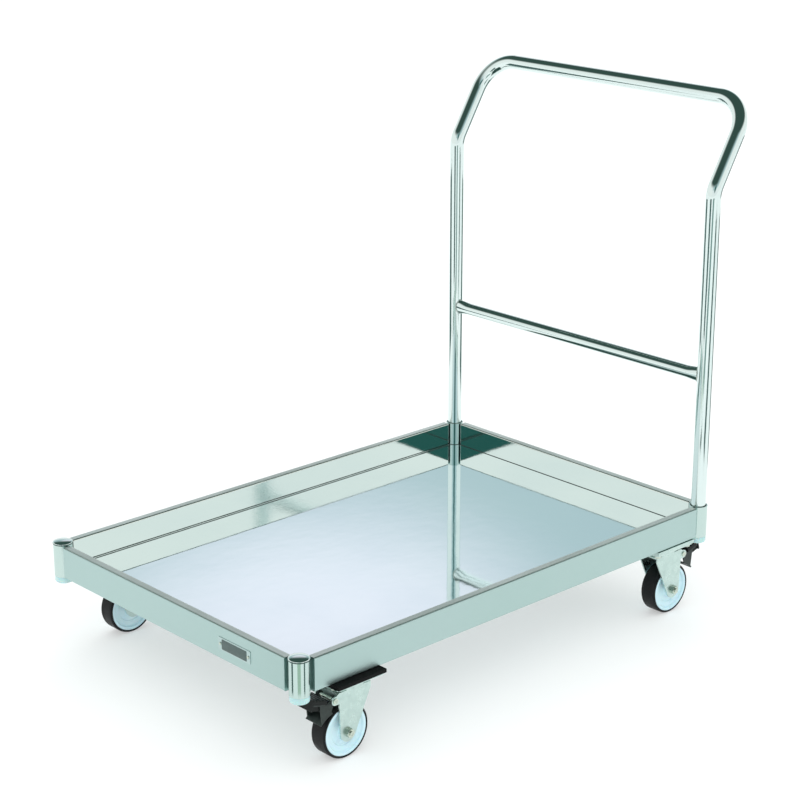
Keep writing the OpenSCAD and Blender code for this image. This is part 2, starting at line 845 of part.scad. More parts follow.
// outline of a cheek of the lever, local X along the trail and Y up from the floor
module cheek_outline() {
    mid_r = shoe_r + shoe_t / 2;
    low = [trail, wheel_r] + mid_r * [cos(shoe_from + 4), sin(shoe_from + 4)];
    high = [trail, wheel_r] + mid_r * [cos(shoe_to - 4), sin(shoe_to - 4)];
    difference() {
        union() {
            translate([brake_pivot_x, pivot_z]) circle(cheek_r);
            polygon([
                [brake_pivot_x, pivot_z + cheek_r], [seat_x, seat_z - cheek_t / 2],
                [seat_x + pedal_l / 2, seat_z - cheek_t / 2], low, high, [brake_pivot_x, pivot_z - cheek_r],
            ]);
            shoe_wedge(shoe_r + shoe_t);
        }
        tyre_clearance();
        translate([brake_pivot_x, pivot_z]) circle(pivot_r + run_fit);
    }
}

// pressed lever: two cheeks, the shoe between them and a flat seat for the pedal pad
module brake_lever(c) {
    inner_y = cheek_out_y - cheek_t;
    color(zinc)
    brake_at_rest(c) {
        for (sy = [-1, 1]) translate([0, sy * (cheek_out_y - cheek_t / 2), 0]) rotate([90, 0, 0])
            linear_extrude(cheek_t, center = true) cheek_outline();
        rotate([90, 0, 0]) linear_extrude(2 * inner_y, center = true) difference() {
            shoe_wedge(shoe_r + shoe_t);
            tyre_clearance();
        }
        translate([seat_x, -cheek_out_y, seat_z - cheek_t]) cube([pedal_l, 2 * cheek_out_y, cheek_t]);
    }
}

// moulded pad: the tread above the seat, a block between the cheeks and the end wall that joins them
module brake_pedal(c) {
    rib_pitch = pedal_l / pedal_ribs;
    rib_w = 2;
    rib_depth = 1.2;
    block_w = 2 * (cheek_out_y - cheek_t - push_fit);
    color(black_rubber)
    brake_at_rest(c) translate([seat_x, 0, seat_z]) difference() {
        union() {
            translate([0, -pedal_w / 2, 0]) cube([pedal_l + pedal_end_t, pedal_w, pedal_t]);
            translate([pedal_l, -pedal_w / 2, -cheek_t - pedal_skirt])
                cube([pedal_end_t, pedal_w, cheek_t + pedal_skirt + pedal_t]);
            translate([0, -block_w / 2, -cheek_t - pedal_skirt]) cube([pedal_l + pedal_end_t, block_w, pedal_skirt]);
        }
        for (i = [0 : pedal_ribs - 1])
            translate([(i + 0.5) * rib_pitch - rib_w / 2, -pedal_w, pedal_t - rib_depth])
                cube([rib_w, 2 * pedal_w, pedal_t]);
    }
}

module brake_pin(c) {
    head_h = 1.5;
    color(steel)
    at_caster(c) translate([brake_pivot_x, 0, pivot_z]) rotate([90, 0, 0]) {
        cylinder(r = pivot_r, h = 2 * leg_out_y, center = true);
        for (s = [-1, 1]) translate([0, 0, s * (leg_out_y + head_h / 2)]) cylinder(r = pivot_r + 1.5, h = head_h, center = true);
    }
}

// ---- repeated nodes, one per caster ----

module fork_front_left() { fork(FRONT_LEFT, true); }
module fork_front_right() { fork(FRONT_RIGHT, false); }
module fork_rear_left() { fork(REAR_LEFT, true); }
module fork_rear_right() { fork(REAR_RIGHT, false); }
module axle_bolt_front_left() { axle_bolt(FRONT_LEFT); }
module axle_bolt_front_right() { axle_bolt(FRONT_RIGHT); }
module axle_bolt_rear_left() { axle_bolt(REAR_LEFT); }
module axle_bolt_rear_right() { axle_bolt(REAR_RIGHT); }
module axle_nut_front_left() { axle_nut(FRONT_LEFT); }
module axle_nut_front_right() { axle_nut(FRONT_RIGHT); }
module axle_nut_rear_left() { axle_nut(REAR_LEFT); }
module axle_nut_rear_right() { axle_nut(REAR_RIGHT); }
module axle_sleeve_front_left() { axle_sleeve(FRONT_LEFT); }
module axle_sleeve_front_right() { axle_sleeve(FRONT_RIGHT); }
module axle_sleeve_rear_left() { axle_sleeve(REAR_LEFT); }
module axle_sleeve_rear_right() { axle_sleeve(REAR_RIGHT); }
module wheel_core_front_left() { wheel_core(FRONT_LEFT); }
module wheel_core_front_right() { wheel_core(FRONT_RIGHT); }
module wheel_core_rear_left() { wheel_core(REAR_LEFT); }
module wheel_core_rear_right() { wheel_core(REAR_RIGHT); }
module tyre_front_left() { tyre(FRONT_LEFT); }
module tyre_front_right() { tyre(FRONT_RIGHT); }
module tyre_rear_left() { tyre(REAR_LEFT); }
module tyre_rear_right() { tyre(REAR_RIGHT); }
module brake_lever_front_left() { brake_lever(FRONT_LEFT); }
module brake_lever_rear_left() { brake_lever(REAR_LEFT); }
module brake_pedal_front_left() { brake_pedal(FRONT_LEFT); }
module brake_pedal_rear_left() { brake_pedal(REAR_LEFT); }
module brake_pin_front_left() { brake_pin(FRONT_LEFT); }
module brake_pin_rear_left() { brake_pin(REAR_LEFT); }

deck_plate();
rim_front();
rim_rear();
rim_left();
rim_right();
post_front_left();
post_front_right();
post_rear_left();
post_rear_right();
post_caps();
foot_plugs();
corner_webs();
cross_member_front();
cross_member_rear();
deck_stringers();
label_plate();
label_rivets();
handle_hoop();
handle_crossbar();
handle_sleeves();
handle_lock_screws();
front_caster_pads();
rear_caster_pads();
caster_top_plates();
king_pins();
swivel_balls();
mount_bolts();
mount_nuts();
fork_front_left();
fork_front_right();
fork_rear_left();
fork_rear_right();
axle_bolt_front_left();
axle_bolt_front_right();
axle_bolt_rear_left();
axle_bolt_rear_right();
axle_nut_front_left();
axle_nut_front_right();
axle_nut_rear_left();
axle_nut_rear_right();
axle_sleeve_front_left();
axle_sleeve_front_right();
axle_sleeve_rear_left();
axle_sleeve_rear_right();
wheel_core_front_left();
wheel_core_front_right();
wheel_core_rear_left();
wheel_core_rear_right();
tyre_front_left();
tyre_front_right();
tyre_rear_left();
tyre_rear_right();
brake_lever_front_left();
brake_lever_rear_left();
brake_pedal_front_left();
brake_pedal_rear_left();
brake_pin_front_left();
brake_pin_rear_left();
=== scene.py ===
# %% [markdown]
# # A stainless tray trolley
#
# The frame of this model comes from a CAD pack: every tube, sheet, bolt and wheel is already
# there at its real size, and the joints are set. This lesson gives each of them its finish and
# replaces the few pieces whose surface a CAD mesh can't carry: the polished tube, the flared
# crossbar, the tyres and the moulded wheel centres. Last come the weld beads and the deck seal.

# %% Load the frame
import json
import math

import bpy
import numpy as np
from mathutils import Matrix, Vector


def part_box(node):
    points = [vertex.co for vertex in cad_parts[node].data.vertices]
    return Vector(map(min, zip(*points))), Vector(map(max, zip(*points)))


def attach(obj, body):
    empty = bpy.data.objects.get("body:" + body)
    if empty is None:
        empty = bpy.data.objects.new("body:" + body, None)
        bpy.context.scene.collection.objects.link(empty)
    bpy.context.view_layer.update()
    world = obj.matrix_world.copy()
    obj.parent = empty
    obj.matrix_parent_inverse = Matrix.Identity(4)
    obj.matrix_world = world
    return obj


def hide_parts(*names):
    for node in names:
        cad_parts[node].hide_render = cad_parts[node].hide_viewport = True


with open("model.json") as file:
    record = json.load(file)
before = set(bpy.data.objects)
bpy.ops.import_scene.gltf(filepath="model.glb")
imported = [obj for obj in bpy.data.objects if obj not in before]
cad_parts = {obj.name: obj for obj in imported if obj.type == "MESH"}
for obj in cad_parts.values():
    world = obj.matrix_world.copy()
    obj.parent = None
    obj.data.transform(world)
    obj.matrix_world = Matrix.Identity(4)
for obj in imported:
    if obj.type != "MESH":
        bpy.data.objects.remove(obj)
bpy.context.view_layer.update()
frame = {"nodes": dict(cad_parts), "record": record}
nodes = frame["nodes"]
MM = 0.001

# %% [markdown]
# Positions are read from the CAD nodes, so a change in the design moves the looks with it.
# `corners` gives the two corners of a node's box, and the casters are named after the corner
# of the trolley that they carry.

# %% Places taken from the frame
CASTERS = ["front_left", "front_right", "rear_left", "rear_right"]
BRAKED = ["front_left", "rear_left"]


def corners(node):
    """Lowest and highest corner of a node as two numpy arrays, in metres."""
    low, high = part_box(node)
    return np.array(low), np.array(high)


def middle(node):
    """Centre of a node's box."""
    low, high = corners(node)
    return (low + high) / 2


deck_low, deck_high = corners("deck_plate")
deck_middle = (deck_low + deck_high) / 2
print("deck", np.round(deck_high - deck_low, 4), "top at", round(float(deck_high[2]), 4))

# %% [markdown]
# ## Studio
#
# The floor is pale and endless, so the trolley stands on an even ground. Polished steel shows
# what surrounds it, and a room that is white everywhere would turn it into white paper. So the
# room has white sides, a grey back with one soft glow beyond the deck, and a dark ceiling: the
# sides give the tubes a white line, and the ceiling gives them a dark upper edge. A dark patch
# on the camera's side shows green where the two polished walls of a corner mirror it.

# %% Floor
FLOOR_HALF_SIDE = 60.0
FLOOR_COLOUR = (0.56, 0.57, 0.57, 1)
FLOOR_GLOW = 0.42


def floor_sheet():
    """A flat square at the level of the wheels, lit a little from within, as a light table is."""
    r = FLOOR_HALF_SIDE
    mesh = bpy.data.meshes.new("studio_floor")
    mesh.from_pydata([(-r, -r, 0), (r, -r, 0), (r, r, 0), (-r, r, 0)], [], [(0, 1, 2, 3)])
    floor = bpy.data.objects.new("studio_floor", mesh)
    bpy.context.collection.objects.link(floor)
    material = bpy.data.materials.new("studio_floor")
    material.use_nodes = True
    shader = material.node_tree.nodes["Principled BSDF"]
    shader.inputs["Base Color"].default_value = FLOOR_COLOUR
    shader.inputs["Emission Color"].default_value = (1, 1, 1, 1)
    shader.inputs["Emission Strength"].default_value = FLOOR_GLOW
    shader.inputs["Roughness"].default_value = 0.9
    shader.inputs["Specular IOR Level"].default_value = 0.1
    mesh.materials.append(material)


floor_sheet()
print("floor", 2 * FLOOR_HALF_SIDE, "m square")

# %% Sky
BACK = (0.50, 0.64, 0.66)
SIDES = (1.0, 1.02, 1.0)
LOW_BAND = (0.95, 0.98, 0.98)
CAMERA_SIDE = (0.03, 0.13, 0.12)
CEILING = (0.045, 0.085, 0.072)
GLOW = (1.05, 1.03, 1.12)
GLOW_TOWARDS = (0.562, 0.659, 0.500)
TOWARDS_SIDE = (0.731, -0.682, 0.0)
TOWARDS_CAMERA = (-0.660, -0.672, 0.336)
UPWARDS = (0, 0, 1)
BACK_FADE = (0.26, 0.35)
SIDES_FADE = (0.35, 0.75)
CAMERA_FADE = (0.968, 0.9982)
GLOW_FADE = (0.9835, 0.9969)
CEILING_FADE = (0.38, 0.62)
BACKDROP = (1, 1, 1)


def link(tree, a, b):
    """Joins an output socket to an input socket."""
    tree.links.new(a, b)


def facing(tree, direction, axis, fade_over, both_ways=False):
    """Zero to one as the cosine between the direction and an axis goes over the range fade_over."""
    cosine = tree.nodes.new("ShaderNodeVectorMath")
    cosine.operation = "DOT_PRODUCT"
    cosine.inputs[1].default_value = axis
    link(tree, direction, cosine.inputs[0])
    value = cosine.outputs["Value"]
    if both_ways:
        size = tree.nodes.new("ShaderNodeMath")
        size.operation = "ABSOLUTE"
        link(tree, value, size.inputs[0])
        value = size.outputs[0]
    fade = tree.nodes.new("ShaderNodeMapRange")
    fade.interpolation_type = "SMOOTHSTEP"
    fade.inputs["From Min"].default_value, fade.inputs["From Max"].default_value = fade_over
    link(tree, value, fade.inputs["Value"])
    return fade.outputs["Result"]


def towards_colour(tree, under, colour, factor):
    """Mixes a fixed colour over another, which is a fixed colour or a socket, by a factor."""
    mix = tree.nodes.new("ShaderNodeMix")
    mix.data_type = "RGBA"
    mix.inputs[7].default_value = (*colour, 1)
    link(tree, factor, mix.inputs[0])
    if isinstance(under, tuple):
        mix.inputs[6].default_value = (*under, 1)
    else:
        link(tree, under, mix.inputs[6])
    return mix.outputs[2]


def studio_sky():
    """World light: a low white band under a grey back, white sides, a dark patch on the camera's
    side, one glow and a dark ceiling, laid over each other in that order."""
    world = bpy.data.worlds.new("studio_sky")
    bpy.context.scene.world = world
    world.use_nodes = True
    tree = world.node_tree
    direction = tree.nodes.new("ShaderNodeTexCoord").outputs["Generated"]
    layers = [
        (BACK, UPWARDS, BACK_FADE, False), (SIDES, TOWARDS_SIDE, SIDES_FADE, True),
        (CAMERA_SIDE, TOWARDS_CAMERA, CAMERA_FADE, False), (GLOW, GLOW_TOWARDS, GLOW_FADE, False),
        (CEILING, UPWARDS, CEILING_FADE, False),
    ]
    colour = LOW_BAND
    for over, axis, fade_over, both_ways in layers:
        colour = towards_colour(tree, colour, over, facing(tree, direction, axis, fade_over, both_ways))
    seen = tree.nodes.new("ShaderNodeLightPath")
    backdrop = towards_colour(tree, colour, BACKDROP, seen.outputs["Is Camera Ray"])
    link(tree, backdrop, tree.nodes["Background"].inputs["Color"])
    tree.nodes["Background"].inputs["Strength"].default_value = 1.0


studio_sky()
print("sky glow towards", GLOW_TOWARDS)

# %% [markdown]
# One wide, very soft light overhead makes the floor evenly bright, and two small panels model
# the rubber and plastic. They are hidden from reflections, because a panel that shows in every
# tube would hide the dark ceiling. Upright tubes mirror the floor round them, so dark mats lie
# on it: they are the black cards of a product studio, seen only in the steel.

# %% Lights and mats
MAT_HEIGHT = 0.004
MAT_STEPS = 24
DARK = (0.07, 0.115, 0.11)
GREY = (0.18, 0.26, 0.25)
PALE = (0.45, 0.55, 0.46)
ROUND_TROLLEY = (0, 0, 0)


def area_light(name, place, aim, size, power):
    """A soft panel at place, turned to face aim, that no reflection shows."""
    data = bpy.data.lights.new(name, "AREA")
    data.shape = "RECTANGLE"
    data.size, data.size_y = size
    data.energy = power
    light = bpy.data.objects.new(name, data)
    bpy.context.collection.objects.link(light)
    direction = np.array(aim) - np.array(place)
    light.location = place
    turn = math.atan2(direction[1], direction[0]) - math.pi / 2
    tilt = math.atan2(np.hypot(direction[0], direction[1]), -direction[2])
    light.rotation_euler = (tilt, 0, turn)
    light.visible_glossy = False


def wide_light(name, strength, spread):
    """A light from straight above that comes from a cap of the sky `spread` degrees wide."""
    data = bpy.data.lights.new(name, "SUN")
    data.energy = strength
    data.angle = math.radians(spread)
    light = bpy.data.objects.new(name, data)
    bpy.context.collection.objects.link(light)
    light.location = (0, 0, 4)
    light.visible_glossy = False


def dark_mat(name, colour, near, far, start, end, centre=ROUND_TROLLEY):
    """A ring sector on the floor round a centre: radius from near to far in metres, angle from
    start to end in degrees."""
    angle = np.radians(np.linspace(start, end, MAT_STEPS + 1))
    rim = np.stack([np.cos(angle), np.sin(angle), np.zeros_like(angle)], -1)
    points = np.concatenate([near * rim, far * rim]) + (centre[0], centre[1], MAT_HEIGHT)
    n = MAT_STEPS + 1
    faces = [(i, n + i, n + i + 1, i + 1) for i in range(MAT_STEPS)]
    mesh = bpy.data.meshes.new(name)
    mesh.from_pydata(points, [], faces)
    mat = bpy.data.objects.new(name, mesh)
    bpy.context.collection.objects.link(mat)
    material = bpy.data.materials.new(name)
    material.use_nodes = True
    shader = material.node_tree.nodes["Principled BSDF"]
    shader.inputs["Base Color"].default_value = (*colour, 1)
    shader.inputs["Specular IOR Level"].default_value = 0
    mesh.materials.append(material)
    mat.visible_camera = False
    mat.visible_diffuse = False
    mat.visible_shadow = False


near_post = middle("post_front_left")
wide_light("wide_light", strength=2.75, spread=110)
area_light("key_panel", place=(-2.6, -2.4, 2.6), aim=(0, 0, 0.2), size=(1.8, 1.8), power=25)
area_light("rim_panel", place=(2.6, 1.8, 2.6), aim=(0, 0, 0.4), size=(1.6, 2.4), power=15)
dark_mat("edge_mat_left", DARK, 1.15, 3.4, 88, 126)
dark_mat("mat_left", DARK, 1.3, 5.0, 178, 204)
dark_mat("camera_mat", GREY, 1.15, 6.0, 222, 244)
dark_mat("mat_right", DARK, 1.15, 3.4, 279, 297)
dark_mat("edge_mat_right", DARK, 1.15, 3.4, 340, 372)
dark_mat("post_mat_left", DARK, 0.28, 0.62, 143, 163, near_post)
dark_mat("post_mat_middle", PALE, 0.28, 0.62, 212, 246, near_post)
dark_mat("post_mat_right", DARK, 0.28, 0.62, 279, 294, near_post)
bpy.context.scene.view_settings.view_transform = "Standard"
print("lights and mats are up")

# %% [markdown]
# The camera looks down on the near corner from the low front end, with a lens of about 92 mm
# three and a third metres away.

# %% Camera
CAMERA_AIM = (-0.0408, -0.0295, 0.4125)
CAMERA_AZIMUTH = math.radians(-42.91)
CAMERA_HEIGHT = math.radians(18.43)
CAMERA_DISTANCE = 3.3654
CAMERA_LENS = 92.47


def studio_camera():
    """Camera on a sphere round the aim point, looking at it."""
    data = bpy.data.cameras.new("studio_camera")
    data.lens = CAMERA_LENS
    data.sensor_width = 36
    camera = bpy.data.objects.new("studio_camera", data)
    bpy.context.collection.objects.link(camera)
    back = np.array([
        math.sin(CAMERA_AZIMUTH) * math.cos(CAMERA_HEIGHT),
        -math.cos(CAMERA_AZIMUTH) * math.cos(CAMERA_HEIGHT),
        math.sin(CAMERA_HEIGHT),
    ])
    camera.location = np.array(CAMERA_AIM) + CAMERA_DISTANCE * back
    camera.rotation_euler = (math.pi / 2 - CAMERA_HEIGHT, 0, CAMERA_AZIMUTH)
    bpy.context.scene.camera = camera


studio_camera()
print("camera", np.round(bpy.context.scene.camera.location, 3))

# %% [markdown]
# ## Shader groups
#
# Three effects are shared by many finishes, so each is a group that is built once: `marks`, the
# soft cloudy patches that handling and polishing leave; `grain`, the fine lines that a brush or
# a roller draws along the metal; and `worn_edges`, a mask that is one along sharp edges. All
# read Object coordinates, in metres.

# %% Group helper
def new_group(name, inputs, outputs):
    """An empty node group with float or vector inputs and float outputs; returns tree, in and out."""
    tree = bpy.data.node_groups.new(name, "ShaderNodeTree")
    for socket, value in inputs.items():
        kind = "NodeSocketVector" if isinstance(value, tuple) else "NodeSocketFloat"
        item = tree.interface.new_socket(socket, in_out="INPUT", socket_type=kind)
        item.default_value = value
    for socket in outputs:
        tree.interface.new_socket(socket, in_out="OUTPUT", socket_type="NodeSocketFloat")
    return tree, tree.nodes.new("NodeGroupInput"), tree.nodes.new("NodeGroupOutput")


def stretched_noise(tree, source, scale_socket, detail):
    """Noise on Object coordinates that are first multiplied by the vector in scale_socket."""
    place = tree.nodes.new("ShaderNodeTexCoord")
    stretch = tree.nodes.new("ShaderNodeVectorMath")
    stretch.operation = "MULTIPLY"
    link(tree, place.outputs["Object"], stretch.inputs[0])
    link(tree, source.outputs[scale_socket], stretch.inputs[1])
    noise = tree.nodes.new("ShaderNodeTexNoise")
    noise.inputs["Scale"].default_value = 1.0
    noise.inputs["Detail"].default_value = detail
    link(tree, stretch.outputs[0], noise.inputs["Vector"])
    return noise


def contrast(tree, value, low, high):
    """Maps value from low..high to 0..1 with a soft start and end."""
    span = tree.nodes.new("ShaderNodeMapRange")
    span.interpolation_type = "SMOOTHSTEP"
    for name, source in (("From Min", low), ("From Max", high)):
        if isinstance(source, float):
            span.inputs[name].default_value = source
        else:
            link(tree, source, span.inputs[name])
    link(tree, value, span.inputs["Value"])
    return span.outputs["Result"]


# %% The three groups
def marks_group():
    """Cloudy mask: soft noise whose contrast is set by Low and High."""
    defaults = {"Scale": (8.0, 8.0, 8.0), "Low": 0.4, "High": 0.7}
    tree, source, target = new_group("marks", defaults, ["Mask"])
    noise = stretched_noise(tree, source, "Scale", 4.0)
    mask = contrast(tree, noise.outputs["Fac"], source.outputs["Low"], source.outputs["High"])
    link(tree, mask, target.inputs["Mask"])
    return tree


def grain_group():
    """Height of fine lines: noise drawn out along one axis, with a second finer layer added."""
    defaults = {"Scale": (20.0, 900.0, 900.0), "Fine": 3.0}
    tree, source, target = new_group("grain", defaults, ["Height"])
    coarse = stretched_noise(tree, source, "Scale", 2.0)
    place = tree.nodes.new("ShaderNodeTexCoord")
    finer = tree.nodes.new("ShaderNodeVectorMath")
    finer.operation = "MULTIPLY"
    link(tree, place.outputs["Object"], finer.inputs[0])
    link(tree, source.outputs["Scale"], finer.inputs[1])
    noise = tree.nodes.new("ShaderNodeTexNoise")
    noise.inputs["Detail"].default_value = 1.0
    link(tree, source.outputs["Fine"], noise.inputs["Scale"])
    link(tree, finer.outputs[0], noise.inputs["Vector"])
    total = tree.nodes.new("ShaderNodeMath")
    total.operation = "ADD"
    link(tree, coarse.outputs["Fac"], total.inputs[0])
    link(tree, noise.outputs["Fac"], total.inputs[1])
    link(tree, total.outputs[0], target.inputs["Height"])
    return tree


def worn_edges_group():
    """Mask that is one where a rounded normal turns away from the true one, broken up by noise."""
    tree, source, target = new_group("worn_edges", {"Scale": (60.0, 60.0, 60.0)}, ["Mask"])
    rounded = tree.nodes.new("ShaderNodeBevel")
    rounded.samples = 4
    rounded.inputs["Radius"].default_value = 0.9 * MM
    true = tree.nodes.new("ShaderNodeNewGeometry")
    match = tree.nodes.new("ShaderNodeVectorMath")
    match.operation = "DOT_PRODUCT"
    link(tree, rounded.outputs["Normal"], match.inputs[0])
    link(tree, true.outputs["Normal"], match.inputs[1])
    turned = tree.nodes.new("ShaderNodeMath")
    turned.operation = "SUBTRACT"
    turned.inputs[0].default_value = 1.0
    link(tree, match.outputs["Value"], turned.inputs[1])
    edge = contrast(tree, turned.outputs[0], 0.01, 0.12)
    noise = stretched_noise(tree, source, "Scale", 3.0)
    patchy = contrast(tree, noise.outputs["Fac"], 0.35, 0.6)
    both = tree.nodes.new("ShaderNodeMath")
    both.operation = "MULTIPLY"
    link(tree, edge, both.inputs[0])
    link(tree, patchy, both.inputs[1])
    link(tree, both.outputs[0], target.inputs["Mask"])
    return tree


GROUPS = {"marks": marks_group(), "grain": grain_group(), "worn_edges": worn_edges_group()}
print("groups", sorted(GROUPS))

# %% [markdown]
# ## Finishes
#
# Every finish has the same skeleton: two close colours mixed by the cloudy marks, a roughness
# that follows the same marks, a grain that bends the normal a little, and a worn colour along
# the edges. `finish` builds that skeleton, and each material gives its own values. What is the
# same all over, such as metallic or coat, is set on the shader itself.

# %% Finish helper
def group_node(tree, name, **values):
    """Places a shared group in a material and sets its inputs."""
    node = tree.nodes.new("ShaderNodeGroup")
    node.node_tree = GROUPS[name]
    for socket, value in values.items():
        node.inputs[socket].default_value = value
    return node


def finish(name, colours, rough, marks, grain=None, bump=0.0, worn=None, **shader_values):
    """A Principled material: colours = (base, mottled), rough = (low, high), marks = (scale, low,
    high), grain = (scale vector, depth in metres), worn = colour along the edges."""
    material = bpy.data.materials.new(name)
    material.use_nodes = True
    tree = material.node_tree
    shader = tree.nodes["Principled BSDF"]
    scale, low, high = marks
    cloud = group_node(tree, "marks", Scale=scale, Low=low, High=high)
    tint = tree.nodes.new("ShaderNodeMix")
    tint.data_type = "RGBA"
    tint.inputs[6].default_value = (*colours[0], 1)
    tint.inputs[7].default_value = (*colours[1], 1)
    link(tree, cloud.outputs["Mask"], tint.inputs[0])
    colour = tint.outputs[2]
    if worn:
        edge = group_node(tree, "worn_edges")
        mix = tree.nodes.new("ShaderNodeMix")
        mix.data_type = "RGBA"
        link(tree, edge.outputs["Mask"], mix.inputs[0])
        link(tree, colour, mix.inputs[6])
        mix.inputs[7].default_value = (*worn, 1)
        colour = mix.outputs[2]
    link(tree, colour, shader.inputs["Base Color"])
    roughness = tree.nodes.new("ShaderNodeMapRange")
    roughness.inputs["To Min"].default_value = rough[0]
    roughness.inputs["To Max"].default_value = rough[1]
    link(tree, cloud.outputs["Mask"], roughness.inputs["Value"])
    link(tree, roughness.outputs["Result"], shader.inputs["Roughness"])
    if grain:
        lines = group_node(tree, "grain", Scale=grain)
        relief = tree.nodes.new("ShaderNodeBump")
        relief.inputs["Strength"].default_value = 1.0
        relief.inputs["Distance"].default_value = bump
        link(tree, lines.outputs["Height"], relief.inputs["Height"])
        link(tree, relief.outputs["Normal"], shader.inputs["Normal"])
    for socket, value in shader_values.items():
        shader.inputs[socket.replace("_", " ")].default_value = value
    return material


# %% [markdown]
# The deck is a mirror with faint ripples from rolling; the folded rims are satin, with the
# brush running along each rim; posts and handle are polished tube, and the pressings below are
# zinc plated, which is greener, duller and faintly mottled.

# %% Stainless finishes
ALONG_X = (9.0, 700.0, 700.0)
ALONG_Y = (700.0, 9.0, 700.0)
ALONG_Z = (700.0, 700.0, 9.0)
CLOUDS = (5.0, 5.0, 5.0)
SOFT_MARKS = (CLOUDS, 0.35, 0.7)


def mirror_steel():
    """Mirror polished sheet: almost no grain, wide faint ripples."""
    ripple = (11.0, 15.0, 11.0)
    colours = ((0.80, 0.89, 0.91), (0.76, 0.86, 0.89))
    return finish("mirror_steel", colours, (0.03, 0.085), (CLOUDS, 0.35, 0.75), ripple, 0.00004, Metallic=1.0)


def satin_steel(name, along):
    """Folded sheet, satin outside and brushed along the rim."""
    colours = ((0.43, 0.575, 0.555), (0.47, 0.61, 0.595))
    return finish(name, colours, (0.34, 0.44), SOFT_MARKS, along, 0.00001, (0.66, 0.80, 0.79), Metallic=1.0)


POLISHED_COLOUR = (0.80, 0.85, 0.81)
POLISHED_ROUGHNESS = (0.06,) * 3
TOP_FACE_DEPTH = 0.5 * MM


def bright_inside(material, axis, limit):
    """Makes a rim mirror bright where its distance from the middle along an axis is below limit:
    the inner face of the folded sheet keeps the mill's polish. Its top face is as bright, but
    satin."""
    tree = material.node_tree
    shader = next(n for n in tree.nodes if n.type == "BSDF_PRINCIPLED")
    place = tree.nodes.new("ShaderNodeTexCoord")
    split = tree.nodes.new("ShaderNodeSeparateXYZ")
    shift = tree.nodes.new("ShaderNodeVectorMath")
    shift.operation = "SUBTRACT"
    shift.inputs[1].default_value = (deck_middle[0], deck_middle[1], 0)
    link(tree, place.outputs["Object"], shift.inputs[0])
    link(tree, shift.outputs["Vector"], split.inputs[0])
    size = tree.nodes.new("ShaderNodeMath")
    size.operation = "ABSOLUTE"
    link(tree, split.outputs[axis], size.inputs[0])
    inside = tree.nodes.new("ShaderNodeMath")
    inside.operation = "LESS_THAN"
    inside.inputs[1].default_value = limit
    link(tree, size.outputs[0], inside.inputs[0])
    on_top = tree.nodes.new("ShaderNodeMath")
    on_top.operation = "GREATER_THAN"
    on_top.inputs[1].default_value = float(corners("rim_front")[1][2]) - TOP_FACE_DEPTH
    link(tree, split.outputs["Z"], on_top.inputs[0])
    bright = tree.nodes.new("ShaderNodeMath")
    bright.operation = "MAXIMUM"
    link(tree, inside.outputs[0], bright.inputs[0])
    link(tree, on_top.outputs[0], bright.inputs[1])
    for socket, value in (("Roughness", POLISHED_ROUGHNESS), ("Base Color", POLISHED_COLOUR)):
        old = shader.inputs[socket].links[0].from_socket
        mix = tree.nodes.new("ShaderNodeMix")
        mix.data_type = "RGBA"
        mix.inputs[7].default_value = (*value, 1)
        link(tree, (bright if socket == "Base Color" else inside).outputs[0], mix.inputs[0])
        link(tree, old, mix.inputs[6])
        link(tree, mix.outputs[2], shader.inputs[socket])
    return material


def post_steel():
    """Polished post tube, drawn along its length."""
    colours = ((0.53, 0.66, 0.63), (0.58, 0.70, 0.67))
    return finish("post_steel", colours, (0.08, 0.15), SOFT_MARKS, ALONG_Z, 0.000005, Metallic=1.0)


def handle_chrome():
    """Brightly polished handle tube."""
    colours = ((0.74, 0.83, 0.815), (0.70, 0.80, 0.79))
    marks = (CLOUDS, 0.3, 0.75)
    return finish("handle_chrome", colours, (0.05, 0.11), marks, (30,) * 3, 0.00001, Metallic=1.0)


def frame_steel():
    """Plain rolled sheet below the deck."""
    colours = ((0.56, 0.66, 0.63), (0.50, 0.59, 0.56))
    return finish("frame_steel", colours, (0.32, 0.48), (CLOUDS, 0.3, 0.7), ALONG_Y, 0.00002, Metallic=1.0)


# %% Zinc, fasteners and label
SPANGLE = (90.0, 90.0, 90.0)
SPANGLE_MARKS = (SPANGLE, 0.35, 0.7)


def zinc_steel():
    """Zinc plated pressings, faintly mottled, brighter where the edges are rubbed."""
    colours = ((0.57, 0.71, 0.67), (0.50, 0.63, 0.60))
    marks, edge = (SPANGLE, 0.25, 0.8), (0.80, 0.87, 0.84)
    return finish("zinc_steel", colours, (0.24, 0.40), marks, (160,) * 3, 0.00004, edge, Metallic=1.0)


def lever_shade_black():
    """Brake levers painted near black as painted shade, for the shadow they sit in over the tyres; rubbed
    grey along the edges.
    """
    colours = ((0.014, 0.022, 0.020), (0.03, 0.042, 0.038))
    edge = (0.12, 0.15, 0.14)
    return finish("lever_shade_black", colours, (0.35, 0.5), SPANGLE_MARKS, (200,) * 3, 0.00004, edge, Metallic=0.3)


def corner_shade_steel():
    """Corner webs, painted dark as painted shade in the corners between posts and rims."""
    colours = ((0.09, 0.15, 0.14), (0.14, 0.22, 0.21))
    return finish("corner_shade_steel", colours, (0.35, 0.5), SPANGLE_MARKS, ALONG_Z, 0.00002, Metallic=0.8)


def fastener_steel():
    """Zinc plated bolts and nuts with a trace of yellow."""
    colours = ((0.62, 0.68, 0.58), (0.48, 0.56, 0.50))
    marks, edge = ((220.0,) * 3, 0.4, 0.65), (0.84, 0.88, 0.84)
    return finish("fastener_steel", colours, (0.22, 0.42), marks, (500,) * 3, 0.00003, edge, Metallic=1.0)


def label_metal():
    """Satin aluminium plate, brushed along its width."""
    colours = ((0.50, 0.62, 0.61), (0.46, 0.58, 0.57))
    return finish("label_metal", colours, (0.30, 0.42), (CLOUDS, 0.3, 0.7), ALONG_Y, 0.00002, Metallic=1.0)


